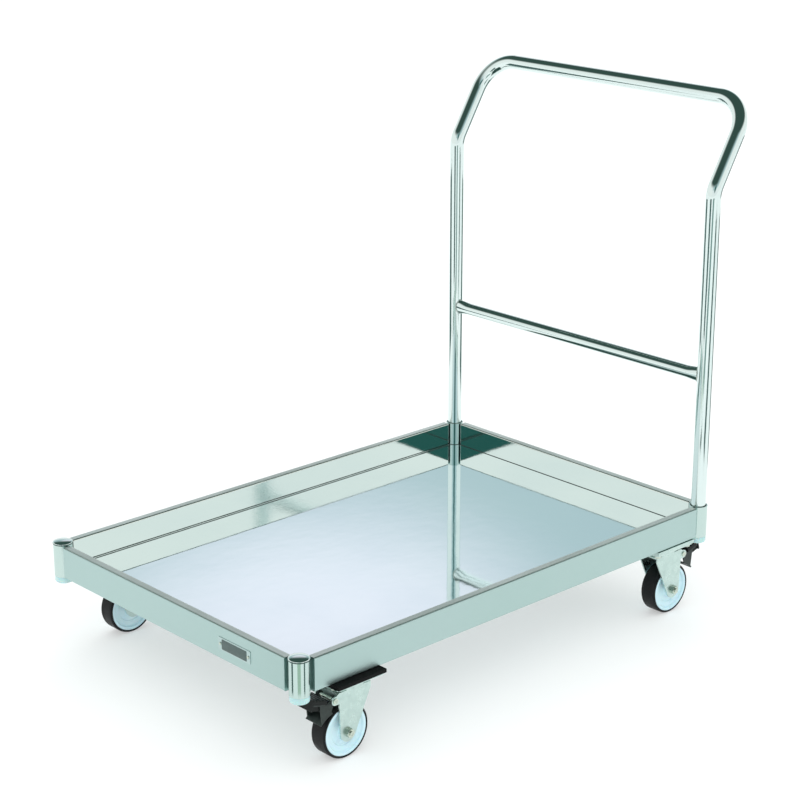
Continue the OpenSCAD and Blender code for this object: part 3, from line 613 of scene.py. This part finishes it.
def label_enamel():
    """Dark field of the label, flat enamel."""
    colours = ((0.055, 0.09, 0.085), (0.08, 0.12, 0.115))
    return finish("label_enamel", colours, (0.35, 0.5), SPANGLE_MARKS, (300,) * 3, 0.00002)


# %% [markdown]
# Rubber is dull and dusty on its high spots, moulded plastic is smooth with a soft sheen, and
# the pale wheel centre lets a little light in below its surface, so it has some subsurface.

# %% Rubber and plastics
DUST = (45.0, 45.0, 45.0)
DUST_MARKS = (DUST, 0.35, 0.7)


def tyre_rubber():
    """Black tread, dusty in patches and rubbed grey at the shoulders."""
    colours = ((0.004, 0.005, 0.006), (0.014, 0.014, 0.014))
    marks, edge = (DUST, 0.4, 0.75), (0.03, 0.032, 0.032)
    return finish(
        "tyre_rubber", colours, (0.45, 0.7), marks, (260,) * 3, 0.00008, edge, Specular_IOR_Level=0.2,
    )


def pad_rubber():
    """Black mounting pad, cut from sheet rubber."""
    colours = ((0.003, 0.004, 0.004), (0.009, 0.009, 0.009))
    marks = (DUST, 0.4, 0.75)
    return finish("pad_rubber", colours, (0.55, 0.8), marks, (400,) * 3, 0.00006, Specular_IOR_Level=0.12)


def pedal_rubber():
    """Black moulded pedal, scuffed on its edges."""
    colours = ((0.004, 0.006, 0.006), (0.010, 0.013, 0.012))
    marks, edge = (DUST, 0.4, 0.7), (0.04, 0.05, 0.048)
    return finish(
        "pedal_rubber", colours, (0.38, 0.6), marks, (350,) * 3, 0.00006, edge, Specular_IOR_Level=0.2,
    )


def black_plastic():
    """Liner between handle and post."""
    colours = ((0.012, 0.014, 0.014), (0.02, 0.022, 0.022))
    return finish("black_plastic", colours, (0.35, 0.5), (DUST, 0.4, 0.7), (300, 300, 300), 0.00003)


def cap_plastic():
    """Dark green glossy post caps, a little uneven on top."""
    colours = ((0.012, 0.050, 0.042), (0.020, 0.060, 0.052))
    edge = (0.10, 0.16, 0.15)
    return finish(
        "cap_plastic", colours, (0.08, 0.18), DUST_MARKS, (120,) * 3, 0.00012, edge, Coat_Weight=0.5,
    )


def plug_plastic():
    """Pale foot plugs."""
    colours = ((0.50, 0.74, 0.74), (0.44, 0.68, 0.69))
    return finish(
        "plug_plastic", colours, (0.22, 0.4), DUST_MARKS, (300,) * 3, 0.00003, Subsurface_Weight=0.15,
    )


def wheel_plastic():
    """Pale blue moulded nylon, a little cloudy."""
    colours = ((0.62, 0.84, 0.92), (0.69, 0.88, 0.94))
    marks = ((26.0,) * 3, 0.35, 0.7)
    return finish(
        "wheel_plastic", colours, (0.25, 0.42), marks, (180,) * 3, 0.00004, Subsurface_Weight=0.1,
    )


def seal_rubber():
    """Dark bead along the edge of the deck."""
    colours = ((0.03, 0.045, 0.042), (0.05, 0.07, 0.065))
    return finish("seal_rubber", colours, (0.4, 0.6), DUST_MARKS, (300,) * 3, 0.00003)


def weld_steel():
    """Straw-coloured weld with darker blue-grey heat marks."""
    colours = ((0.62, 0.66, 0.60), (0.30, 0.36, 0.38))
    marks = ((140.0,) * 3, 0.4, 0.7)
    return finish("weld_steel", colours, (0.22, 0.4), marks, (600,) * 3, 0.00005, Metallic=1.0)


# %% Finishes on the CAD nodes
FINISHES = {
    "mirror_steel": mirror_steel(), "post_steel": post_steel(), "handle_chrome": handle_chrome(),
    "frame_steel": frame_steel(), "zinc_steel": zinc_steel(), "fastener_steel": fastener_steel(),
    "label_metal": label_metal(), "tyre_rubber": tyre_rubber(), "pad_rubber": pad_rubber(),
    "pedal_rubber": pedal_rubber(), "black_plastic": black_plastic(), "cap_plastic": cap_plastic(),
    "plug_plastic": plug_plastic(), "wheel_plastic": wheel_plastic(),
    "satin_steel": satin_steel("satin_steel_long", ALONG_X),
}
satin_across = satin_steel("satin_steel_across", ALONG_Y)
INNER_FACE = 1.0 * MM
bright_inside(FINISHES["satin_steel"], "Y", float(corners("rim_right")[0][1]) + INNER_FACE)
bright_inside(satin_across, "X", float(corners("rim_rear")[0][0] - deck_middle[0]) + INNER_FACE)
slot_of = {row["node"]: row["material_slot"] for row in frame["record"]["subparts"]}


def give_finish(node, material):
    """Puts a material in every slot of a CAD node."""
    slots = nodes[node].material_slots
    for one in slots:
        one.material = material
    if not slots:
        nodes[node].data.materials.append(material)


for node in nodes:
    give_finish(node, FINISHES[slot_of[node]])
for node in ("rim_front", "rim_rear"):
    give_finish(node, satin_across)
# The levers of the braked casters get the near-black finish that paints their shade.
for corner in BRAKED:
    give_finish("brake_lever_" + corner, lever_shade_black())
# The corner webs get the dark finish that paints the shade in the corners.
give_finish("corner_webs", corner_shade_steel())
print("finishes on", len(nodes), "nodes")

# %% [markdown]
# No edge of a pressed or cut piece is a razor: it has a small round that catches the light. The
# CAD meshes have sharp edges, so a Weld modifier joins their loose triangles and a Bevel
# modifier rounds every edge that turns more than 35 degrees.

# %% Rounded edges
EDGE_TURN = math.radians(35)
EDGE_SEGMENTS = 2
JOIN_WITHIN = 0.01 * MM
FLAT_FACE_WEIGHT = 60
EDGE_ROUNDS = {
    "rim_": 0.35, "post_": 0.4, "deck_": 0.3, "corner_": 0.3, "cross_": 0.5, "label_plate": 0.25,
    "label_rivets": 0.35, "front_caster": 0.9, "rear_caster": 0.5, "caster_top": 0.5, "mount_": 0.3,
    "fork_": 0.6, "axle_": 0.35, "brake_lever": 0.5, "brake_pedal": 1.0, "brake_pin": 0.4,
    "handle_lock": 0.35, "foot_": 0.4, "king_": 0.4,
}


def round_edges(node, radius):
    """Weld, Bevel and Weighted Normal modifiers on one node."""
    piece = nodes[node]
    weld = piece.modifiers.new("join_triangles", "WELD")
    weld.merge_threshold = JOIN_WITHIN
    bevel = piece.modifiers.new("round_edges", "BEVEL")
    bevel.width = radius * MM
    bevel.segments = EDGE_SEGMENTS
    bevel.limit_method = "ANGLE"
    bevel.angle_limit = EDGE_TURN
    bevel.use_clamp_overlap = True
    level = piece.modifiers.new("even_shading", "WEIGHTED_NORMAL")
    level.keep_sharp = False
    level.weight = FLAT_FACE_WEIGHT


rounded = 0
for node in nodes:
    radius = next((r for start, r in EDGE_ROUNDS.items() if node.startswith(start)), None)
    if radius:
        round_edges(node, radius)
        rounded += 1
print("rounded", rounded, "nodes")

# %% [markdown]
# ## Surfaces by formula
#
# A new piece is a grid of points worked out as one array: rings along a path, with the same
# number of points in each ring. `ring_faces` numbers the faces between the rings, and
# `make_piece` turns points and faces into a smooth mesh that has a slot and rides on a body.

# %% Grid to mesh
def ring_faces(rings, sides, first=0, closed=False):
    """Quads between neighbouring rings of a grid whose points are numbered ring by ring."""
    i = np.arange(rings if closed else rings - 1)[:, None]
    j = np.arange(sides)[None, :]
    nxt, right = (i + 1) % rings, (j + 1) % sides
    corners_of = [i * sides + j, i * sides + right, nxt * sides + right, nxt * sides + j]
    return first + np.stack([np.broadcast_to(c, (i.size, sides)) for c in corners_of], -1).reshape(-1, 4)


def make_piece(name, points, faces, material, body, smooth_turn=40):
    """A mesh object from arrays of points and faces that rides on a body."""
    mesh = bpy.data.meshes.new(name)
    mesh.from_pydata(points.reshape(-1, 3), [], [list(map(int, f)) for f in faces])
    mesh.update()
    mesh.shade_smooth()
    mesh.set_sharp_from_angle(angle=math.radians(smooth_turn))
    piece = bpy.data.objects.new(name, mesh)
    bpy.context.collection.objects.link(piece)
    mesh.materials.append(material)
    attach(piece, body)
    return piece


def turn_outward(points, faces):
    """Flips all faces if the closed surface has a negative volume (the sum of its tetrahedra)."""
    p = points.reshape(-1, 3)
    a, b, c, d = (p[faces[:, k]] for k in range(4))
    volume = np.einsum("ij,ij->i", a, np.cross(b, c)).sum() + np.einsum("ij,ij->i", a, np.cross(c, d)).sum()
    return faces if volume > 0 else faces[:, ::-1]


# %% [markdown]
# ## The handle
#
# The real handle is one tube, drawn through a bender: two upright legs, a slight rake at the
# bends and two rounded top corners. Its surface is a circle carried along a path. In each bend
# the path is an arc, and the circle's first axis is kept at right angles to the path in the
# plane of the rake, so the tube never twists.

# %% Handle path
RAKE = math.radians(31.5)
RAKE_BEND = 45 * MM
TOP_BEND = 62 * MM
ARC_STEPS = 24
TUBE_SIDES = 48
TUBE_WALL = 1.5 * MM
hoop_low, hoop_high = corners("handle_hoop")
leg = middle("post_rear_right")
tube_r = hoop_high[1] - leg[1]
top_z = hoop_high[2] - tube_r
top_x = hoop_high[0] - tube_r
bend_z = top_z - (top_x - leg[0]) / math.tan(RAKE)


def arc(corner, before, after, radius, steps):
    """Points and unit tangents of an arc that rounds a corner between two unit directions."""
    angle = math.acos(np.clip(np.dot(before, after), -1, 1))
    start = corner - before * radius * math.tan(angle / 2)
    inward = (after - before * math.cos(angle)) / math.sin(angle)
    t = np.linspace(0, angle, steps + 1)[:, None]
    points = start + radius * (np.sin(t) * before + (1 - np.cos(t)) * inward)
    return points, np.cos(t) * before + np.sin(t) * inward


def half_handle(side):
    """Path from the foot of one leg to the middle of the top bar: points, tangents, first axes."""
    up, raked = np.array([0, 0, 1.0]), np.array([math.sin(RAKE), 0, math.cos(RAKE)])
    inward = np.array([0, -side, 0.0])
    y = side * leg[1]
    foot = np.array([[leg[0], y, hoop_low[2]]])
    low_bend = arc(np.array([leg[0], y, bend_z]), up, raked, RAKE_BEND, ARC_STEPS)
    top_bend = arc(np.array([top_x, y, top_z]), raked, inward, TOP_BEND, 2 * ARC_STEPS)
    centre = np.array([[top_x, 0, top_z]])
    points = np.concatenate([foot, low_bend[0], top_bend[0], centre])
    tangents = np.concatenate([[up], low_bend[1], top_bend[1], [inward]])
    lean = np.concatenate([[0], np.linspace(0, RAKE, ARC_STEPS + 1), np.full(len(top_bend[0]) + 1, RAKE)])
    axes = np.stack([np.cos(lean), np.zeros_like(lean), -np.sin(lean)], -1)
    return points, tangents, axes


def handle_path():
    """The whole path: one half, then the other half run backwards."""
    first, second = half_handle(1), half_handle(-1)
    points = np.concatenate([first[0], second[0][::-1][1:]])
    tangents = np.concatenate([first[1], -second[1][::-1][1:]])
    axes = np.concatenate([first[2], second[2][::-1][1:]])
    return points, tangents, axes


# %% Handle tube
def tube_grid(points, tangents, axes, radius, sides):
    """Point (i, j) is path point i plus radius times the circle at angle j in the plane across it."""
    other = np.cross(tangents, axes)
    angle = np.linspace(0, 2 * math.pi, sides, endpoint=False)
    circle = np.cos(angle)[None, :, None] * axes[:, None] + np.sin(angle)[None, :, None] * other[:, None]
    return points[:, None] + radius * circle


def hollow_tube(name, path, radius, wall, sides, material, body):
    """Outer grid, then inner grid run backwards, joined in one closed loop of rings."""
    outer = tube_grid(*path, radius, sides)
    inner = tube_grid(*path, radius - wall, sides)[::-1]
    grid = np.concatenate([outer, inner])
    faces = turn_outward(grid, ring_faces(len(grid), sides, closed=True))
    return make_piece(name, grid, faces, material, body, smooth_turn=50)


handle_tube = hollow_tube(
    "handle_tube", handle_path(), tube_r, TUBE_WALL, TUBE_SIDES,
    FINISHES["handle_chrome"], "trolley",
)
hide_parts("handle_hoop")
print("handle tube radius", round(float(tube_r), 5), "bend at", round(float(bend_z), 4))

# %% [markdown]
# The crossbar is a thinner tube whose ends are squeezed tall and narrow where they meet the
# legs. Its section is an ellipse whose two half axes ease from the round bar to the flared end,
# and its last ring follows the leg: it stops where the leg's own circle begins.

# %% Crossbar
BAR_RINGS = 90
BAR_SQUEEZE = 2 * MM
BAR_SUNK = 0.2 * MM
bar_low, bar_high = corners("handle_crossbar")
bar_z = (bar_low[2] + bar_high[2]) / 2
bar_r = (bar_high[0] - bar_low[0]) / 2
end_half_h = (bar_high[2] - bar_low[2]) / 2
end_half_w = bar_r - BAR_SQUEEZE
FLARE_LENGTH = 30 * MM


def bar_surface(sides=48):
    """Ring s from -1 to 1: y = s times the length to the leg's surface, half axes eased by s."""
    s = np.sin(np.linspace(-math.pi / 2, math.pi / 2, BAR_RINGS))[:, None]
    angle = np.linspace(0, 2 * math.pi, sides, endpoint=False)[None, :]
    from_leg = (1 - np.abs(s)) * (leg[1] - tube_r)
    ease = np.clip(1 - from_leg / FLARE_LENGTH, 0, 1)
    ease = ease * ease * (3 - 2 * ease)
    half_w = bar_r + (end_half_w - bar_r) * ease
    half_h = bar_r + (end_half_h - bar_r) * ease
    x = half_w * np.cos(angle)
    reach = leg[1] - np.sqrt(tube_r**2 - x**2)
    y = s * (reach + BAR_SUNK)
    z = half_h * np.sin(angle)
    return np.stack([leg[0] + x, y, bar_z + z], -1)


def capped(grid):
    """Adds one pole point at each end of a grid of rings, and a fan of triangles to each."""
    rings, sides = grid.shape[:2]
    points = np.concatenate([grid.reshape(-1, 3), grid[[0, -1]].mean(1)])
    faces = [list(f) for f in ring_faces(rings, sides)]
    j = np.arange(sides)
    last = (rings - 1) * sides
    fans = [(p, q, rings * sides) for p, q in zip((j + 1) % sides, j)]
    fans += [(last + p, last + q, rings * sides + 1) for p, q in zip(j, (j + 1) % sides)]
    return points, faces + fans


bar_points, bar_faces = capped(bar_surface())
bar_faces = [tuple(reversed(f)) for f in bar_faces]
crossbar = make_piece(
    "crossbar_tube", bar_points, bar_faces, FINISHES["handle_chrome"], "trolley",
)
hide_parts("handle_crossbar")
print("crossbar at", round(float(bar_z), 4), "radius", round(float(bar_r), 4))

# %% [markdown]
# A weld is a row of small overlapping drops. Each bead here is a thin closed tube whose radius
# swells and shrinks along its length, laid on the line where two pieces meet.

# %% Weld beads
BEAD_SIDES = 12
WELD_R = 0.9 * MM
WELD_SWELL = 0.35
WELD_DROPS = 44
WELD_SUNK = 0.3 * MM


def closed_bead(name, path, outward, radius, swell, drops, material, body):
    """Tube round a closed path; its radius is radius * (1 + swell * |sin|) with `drops` humps."""
    ahead = np.roll(path, -1, 0) - np.roll(path, 1, 0)
    ahead /= np.linalg.norm(ahead, axis=1, keepdims=True)
    across = outward - ahead * np.einsum("ij,ij->i", outward, ahead)[:, None]
    across /= np.linalg.norm(across, axis=1, keepdims=True)
    turn = np.linspace(0, math.pi * drops, len(path), endpoint=False)
    size = radius * (1 + swell * np.abs(np.sin(turn)))
    grid = tube_grid(path, ahead, across, size[:, None, None], BEAD_SIDES)
    faces = turn_outward(grid, ring_faces(len(grid), BEAD_SIDES, closed=True))
    return make_piece(name, grid, faces, material, body)


def saddle(side, count=220):
    """Line where the flared bar end meets the leg, and its outward directions."""
    angle = np.linspace(0, 2 * math.pi, count, endpoint=False)
    x, z = end_half_w * np.cos(angle), end_half_h * np.sin(angle)
    y = side * (leg[1] - np.sqrt(tube_r**2 - x**2) - WELD_SUNK)
    outward = np.stack([np.cos(angle), np.zeros(count), np.sin(angle)], -1)
    return np.stack([leg[0] + x, y, bar_z + z], -1), outward


weld_finish = weld_steel()
for side, word in ((-1, "left"), (1, "right")):
    line, outward = saddle(side)
    closed_bead(
        f"bar_weld_{word}", line, outward, WELD_R, WELD_SWELL, WELD_DROPS,
        weld_finish, "trolley",
    )
print("two bar welds")

# %% [markdown]
# The deck is let into the rim, and a thin dark bead of sealant closes the joint. It runs along
# the four inner faces and round the four posts, so its path is a rectangle whose corners are
# arcs bent the other way.

# %% Deck seal
SEAL_R = 0.6 * MM
SEAL_SWELL = 0.04
SEAL_WAVES = 300
SEAL_OFF_WALL = 0.4 * SEAL_R
SEAL_OFF_DECK = 0.3 * SEAL_R
ARC_POINTS = 24
LOOP_POINTS = 240


def seal_path():
    """Corner by corner: an arc round the post from one wall to the next, then the wall."""
    wall = np.array([corners("rim_rear")[0][0], corners("rim_right")[0][1]])
    post = middle("post_rear_right")
    post_r = (corners("post_rear_right")[1][1] - corners("post_rear_right")[0][1]) / 2 + SEAL_OFF_WALL
    centre_x = deck_middle[0]
    half = np.array([wall[0] - centre_x, wall[1]]) - SEAL_OFF_WALL
    out = np.array([post[0] - centre_x, post[1]])
    first = math.acos(np.clip((half[0] - out[0]) / post_r, -1, 1))
    second = math.asin(np.clip((half[1] - out[1]) / post_r, -1, 1))
    angle = np.linspace(-first, second - 2 * math.pi, ARC_POINTS)
    quarter = out + post_r * np.stack([np.cos(angle), np.sin(angle)], -1)
    quarter = quarter[(quarter[:, 0] <= half[0] + 1e-6) & (quarter[:, 1] <= half[1] + 1e-6)]
    loop = []
    for sx, sy, flip in ((1, 1, 1), (-1, 1, -1), (-1, -1, 1), (1, -1, -1)):
        loop.append((quarter * (sx, sy))[::flip])
    joined = np.concatenate(loop)
    step = np.linalg.norm(np.roll(joined, -1, 0) - joined, axis=1)
    along = np.concatenate([[0], np.cumsum(step)])
    ring = np.concatenate([joined, joined[:1]])
    even = np.linspace(0, along[-1], LOOP_POINTS, endpoint=False)
    want = np.unique(np.concatenate([along[:-1], even]))
    x, y = np.interp(want, along, ring[:, 0]), np.interp(want, along, ring[:, 1])
    return np.stack([x + centre_x, y, np.full_like(x, deck_high[2] + SEAL_OFF_DECK)], -1)


seal_line = seal_path()
seal_up = np.tile([0.0, 0.0, 1.0], (len(seal_line), 1))
closed_bead(
    "deck_seal", seal_line, seal_up, SEAL_R, SEAL_SWELL, SEAL_WAVES,
    seal_rubber(), "trolley",
)
print("deck seal points", len(seal_line))

# %% [markdown]
# ## Wheels
#
# A wheel is turned: a closed outline in the half plane (radius, width) carried round the axle.
# The tyre's outline has round shoulders, two fine mould lines and a narrow groove where it
# meets the plastic. The centre has a hub, a shallow dish with one step, and a raised edge.

# %% Lathe
LATHE_STEPS = 96


def turned(outline, centre, steps=LATHE_STEPS):
    """Point (i, j): outline point j turned by angle i about the Y axis through centre."""
    angle = np.linspace(0, 2 * math.pi, steps, endpoint=False)[:, None]
    radius, width = outline[:, 0][None, :], outline[:, 1][None, :]
    x = centre[0] + radius * np.cos(angle)
    z = centre[2] + radius * np.sin(angle)
    return np.stack([x, centre[1] + np.broadcast_to(width, x.shape), z], -1)


def rounded_outline(points, radii, steps=5):
    """Closed outline in the plane whose corners are rounded with the given radii."""
    p = np.asarray(points, float)
    before, after = np.roll(p, 1, 0), np.roll(p, -1, 0)
    rows = []
    for a, b, c, r in zip(before, p, after, radii):
        into, out = (b - a) / np.linalg.norm(b - a), (c - b) / np.linalg.norm(c - b)
        if r == 0 or abs(np.dot(into, out)) > 0.999:
            rows.append([b])
            continue
        rows.append(arc(b, into, out, r, steps)[0])
    return np.concatenate(rows)


def mirrored(points, radii):
    """Adds the mirror image across the wheel's middle plane, running back to the start."""
    p, r = list(points), list(radii)
    return p + [(x, -y) for x, y in reversed(p)], r + list(reversed(r))


# %% Tyre and wheel centre
def tyre_outline(wheel_r, seat_r, half_w):
    """Tread with round shoulders and two fine mould lines, side walls that dip to the seat."""
    points = [
        (seat_r, half_w - 1.2 * MM), (seat_r + 1.0 * MM, half_w - 0.4 * MM), (wheel_r - 2.2 * MM, half_w),
        (wheel_r, half_w - 2.4 * MM), (wheel_r, half_w - 5.6 * MM), (wheel_r - 0.35 * MM, half_w - 5.9 * MM),
        (wheel_r, half_w - 6.2 * MM), (wheel_r, 0.4 * MM),
    ]
    radii = [0, 0.3 * MM, 1.2 * MM, 1.6 * MM, 0, 0, 0, 0]
    return rounded_outline(*mirrored(points, radii))


def centre_outline(bore_r, hub_r, core_r, hub_half_w, rim_half_w):
    """Hub, fillet, dish with one step, raised edge with a groove beside the tyre."""
    dish = rim_half_w - 4.2 * MM
    points = [
        (bore_r, hub_half_w), (hub_r - 1.5 * MM, hub_half_w), (hub_r, hub_half_w - 1.5 * MM),
        (hub_r + 1.2 * MM, dish), (core_r * 0.60, dish - 1.0 * MM), (core_r * 0.64, dish + 0.4 * MM),
        (core_r - 6.5 * MM, dish + 1.0 * MM), (core_r - 4.5 * MM, rim_half_w),
        (core_r - 0.8 * MM, rim_half_w), (core_r, rim_half_w - 0.8 * MM),
    ]
    radii = [0.3 * MM, 0.5 * MM, 0.5 * MM, 2.2 * MM, 1.0 * MM, 1.0 * MM, 1.6 * MM, 0.8 * MM, 0.3 * MM, 0]
    return rounded_outline(*mirrored(points, radii))


def wheel_sizes(corner):
    """Radii and half widths of one wheel from its CAD nodes, and its centre."""
    tyre_low, tyre_high = corners("tyre_" + corner)
    core_low, core_high = corners("wheel_core_" + corner)
    sleeve_low, sleeve_high = corners("axle_sleeve_" + corner)
    return {
        "centre": (tyre_low + tyre_high) / 2,
        "wheel_r": (tyre_high[2] - tyre_low[2]) / 2,
        "tyre_half_w": (tyre_high[1] - tyre_low[1]) / 2,
        "core_r": (core_high[2] - core_low[2]) / 2,
        "hub_half_w": (core_high[1] - core_low[1]) / 2,
        "bore_r": (sleeve_high[2] - sleeve_low[2]) / 2 + 0.05 * MM,
    }


HUB_R = 13 * MM
RIM_INSET = 0.8 * MM
for corner in CASTERS:
    size = wheel_sizes(corner)
    outline = tyre_outline(size["wheel_r"], size["core_r"], size["tyre_half_w"])
    grid = turned(outline, size["centre"])
    faces = turn_outward(grid, ring_faces(*grid.shape[:2], closed=True))
    body = "wheel_" + corner
    tread = make_piece("tread_" + corner, grid, faces, FINISHES["tyre_rubber"], body)
    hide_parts("tyre_" + corner)
    rim_half_w = size["tyre_half_w"] - RIM_INSET
    outline = centre_outline(size["bore_r"], HUB_R, size["core_r"], size["hub_half_w"], rim_half_w)
    grid = turned(outline, size["centre"])
    faces = turn_outward(grid, ring_faces(*grid.shape[:2], closed=True))
    centre_piece = make_piece(
        "wheel_centre_" + corner, grid, faces, FINISHES["wheel_plastic"], body,
    )
    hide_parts("wheel_core_" + corner)
print("wheel radius", round(float(size["wheel_r"]), 4))

# %% [markdown]
# Each front post ends in a cap whose crown is pressed and polished. Its front slope mirrors the
# dark ceiling and its back slope the bright room, so it shows a dark crescent under a white one.

# %% Cap crowns
CROWN_HEIGHT = 3.0 * MM
CROWN_RINGS = 14
CROWN_SMOOTH = 60
caps_low, caps_high = corners("post_caps")
cap_r = (caps_high[0] - caps_low[0]) / 2


def cap_crown(centre, sides=64):
    """Rings of a quarter ellipse: radius = r cos t, height = h sin t, over a short straight lip."""
    t = np.linspace(0, math.pi / 2, CROWN_RINGS + 1)[:-1]
    radius = np.concatenate([[cap_r - 0.8 * MM, cap_r - 0.2 * MM], (cap_r - 0.2 * MM) * np.cos(t)])
    lift = np.concatenate([[-0.8 * MM, -0.6 * MM], CROWN_HEIGHT * np.sin(t)])
    angle = np.linspace(0, 2 * math.pi, sides, endpoint=False)[None, :]
    x = centre[0] + radius[:, None] * np.cos(angle)
    y = centre[1] + radius[:, None] * np.sin(angle)
    z = np.broadcast_to((caps_high[2] + lift)[:, None], x.shape)
    points, faces = capped(np.stack([x, y, z], -1))
    points[-1, 2] = caps_high[2] + CROWN_HEIGHT
    return points, faces


for corner in ("front_left", "front_right"):
    crown_points, crown_faces = cap_crown(middle("post_" + corner))
    make_piece(
        "cap_crown_" + corner, crown_points, crown_faces, FINISHES["handle_chrome"],
        "trolley", CROWN_SMOOTH,
    )
print("two cap crowns, radius", round(float(cap_r / MM), 2), "mm")

# %% [markdown]
# The label plate on the front rim is blank: a satin plate with a dark enamel field and a thin
# border, and no lettering. The field is a flat pillow with rounded corners, set on the plate.

# %% Label field
label_low, label_high = corners("label_plate")


def label_field(border, thickness, corner_r):
    """Rounded rectangle in the plane of the plate, raised by a thin closed slab."""
    y0, y1 = label_low[1] + border[0], label_high[1] - border[0]
    z0, z1 = label_low[2] + border[1], label_high[2] - border[1]
    outline = rounded_outline([(y0, z0), (y1, z0), (y1, z1), (y0, z1)], [corner_r] * 4, 8)
    back, front = label_low[0] + 0.1 * MM, label_low[0] - thickness
    inset = outline + (np.mean(outline, 0) - outline) * 0.012
    grid = np.stack([
        np.column_stack([np.full(len(outline), back), outline]),
        np.column_stack([np.full(len(outline), front + 0.05 * MM), outline]),
        np.column_stack([np.full(len(outline), front), inset]),
    ])
    return capped(grid)


field_points, field_faces = label_field((8.5 * MM, 2.2 * MM), 0.25 * MM, 1.2 * MM)
make_piece("label_field", field_points, field_faces, label_enamel(), "trolley")
print("label", np.round((label_high - label_low) / MM, 1), "mm")
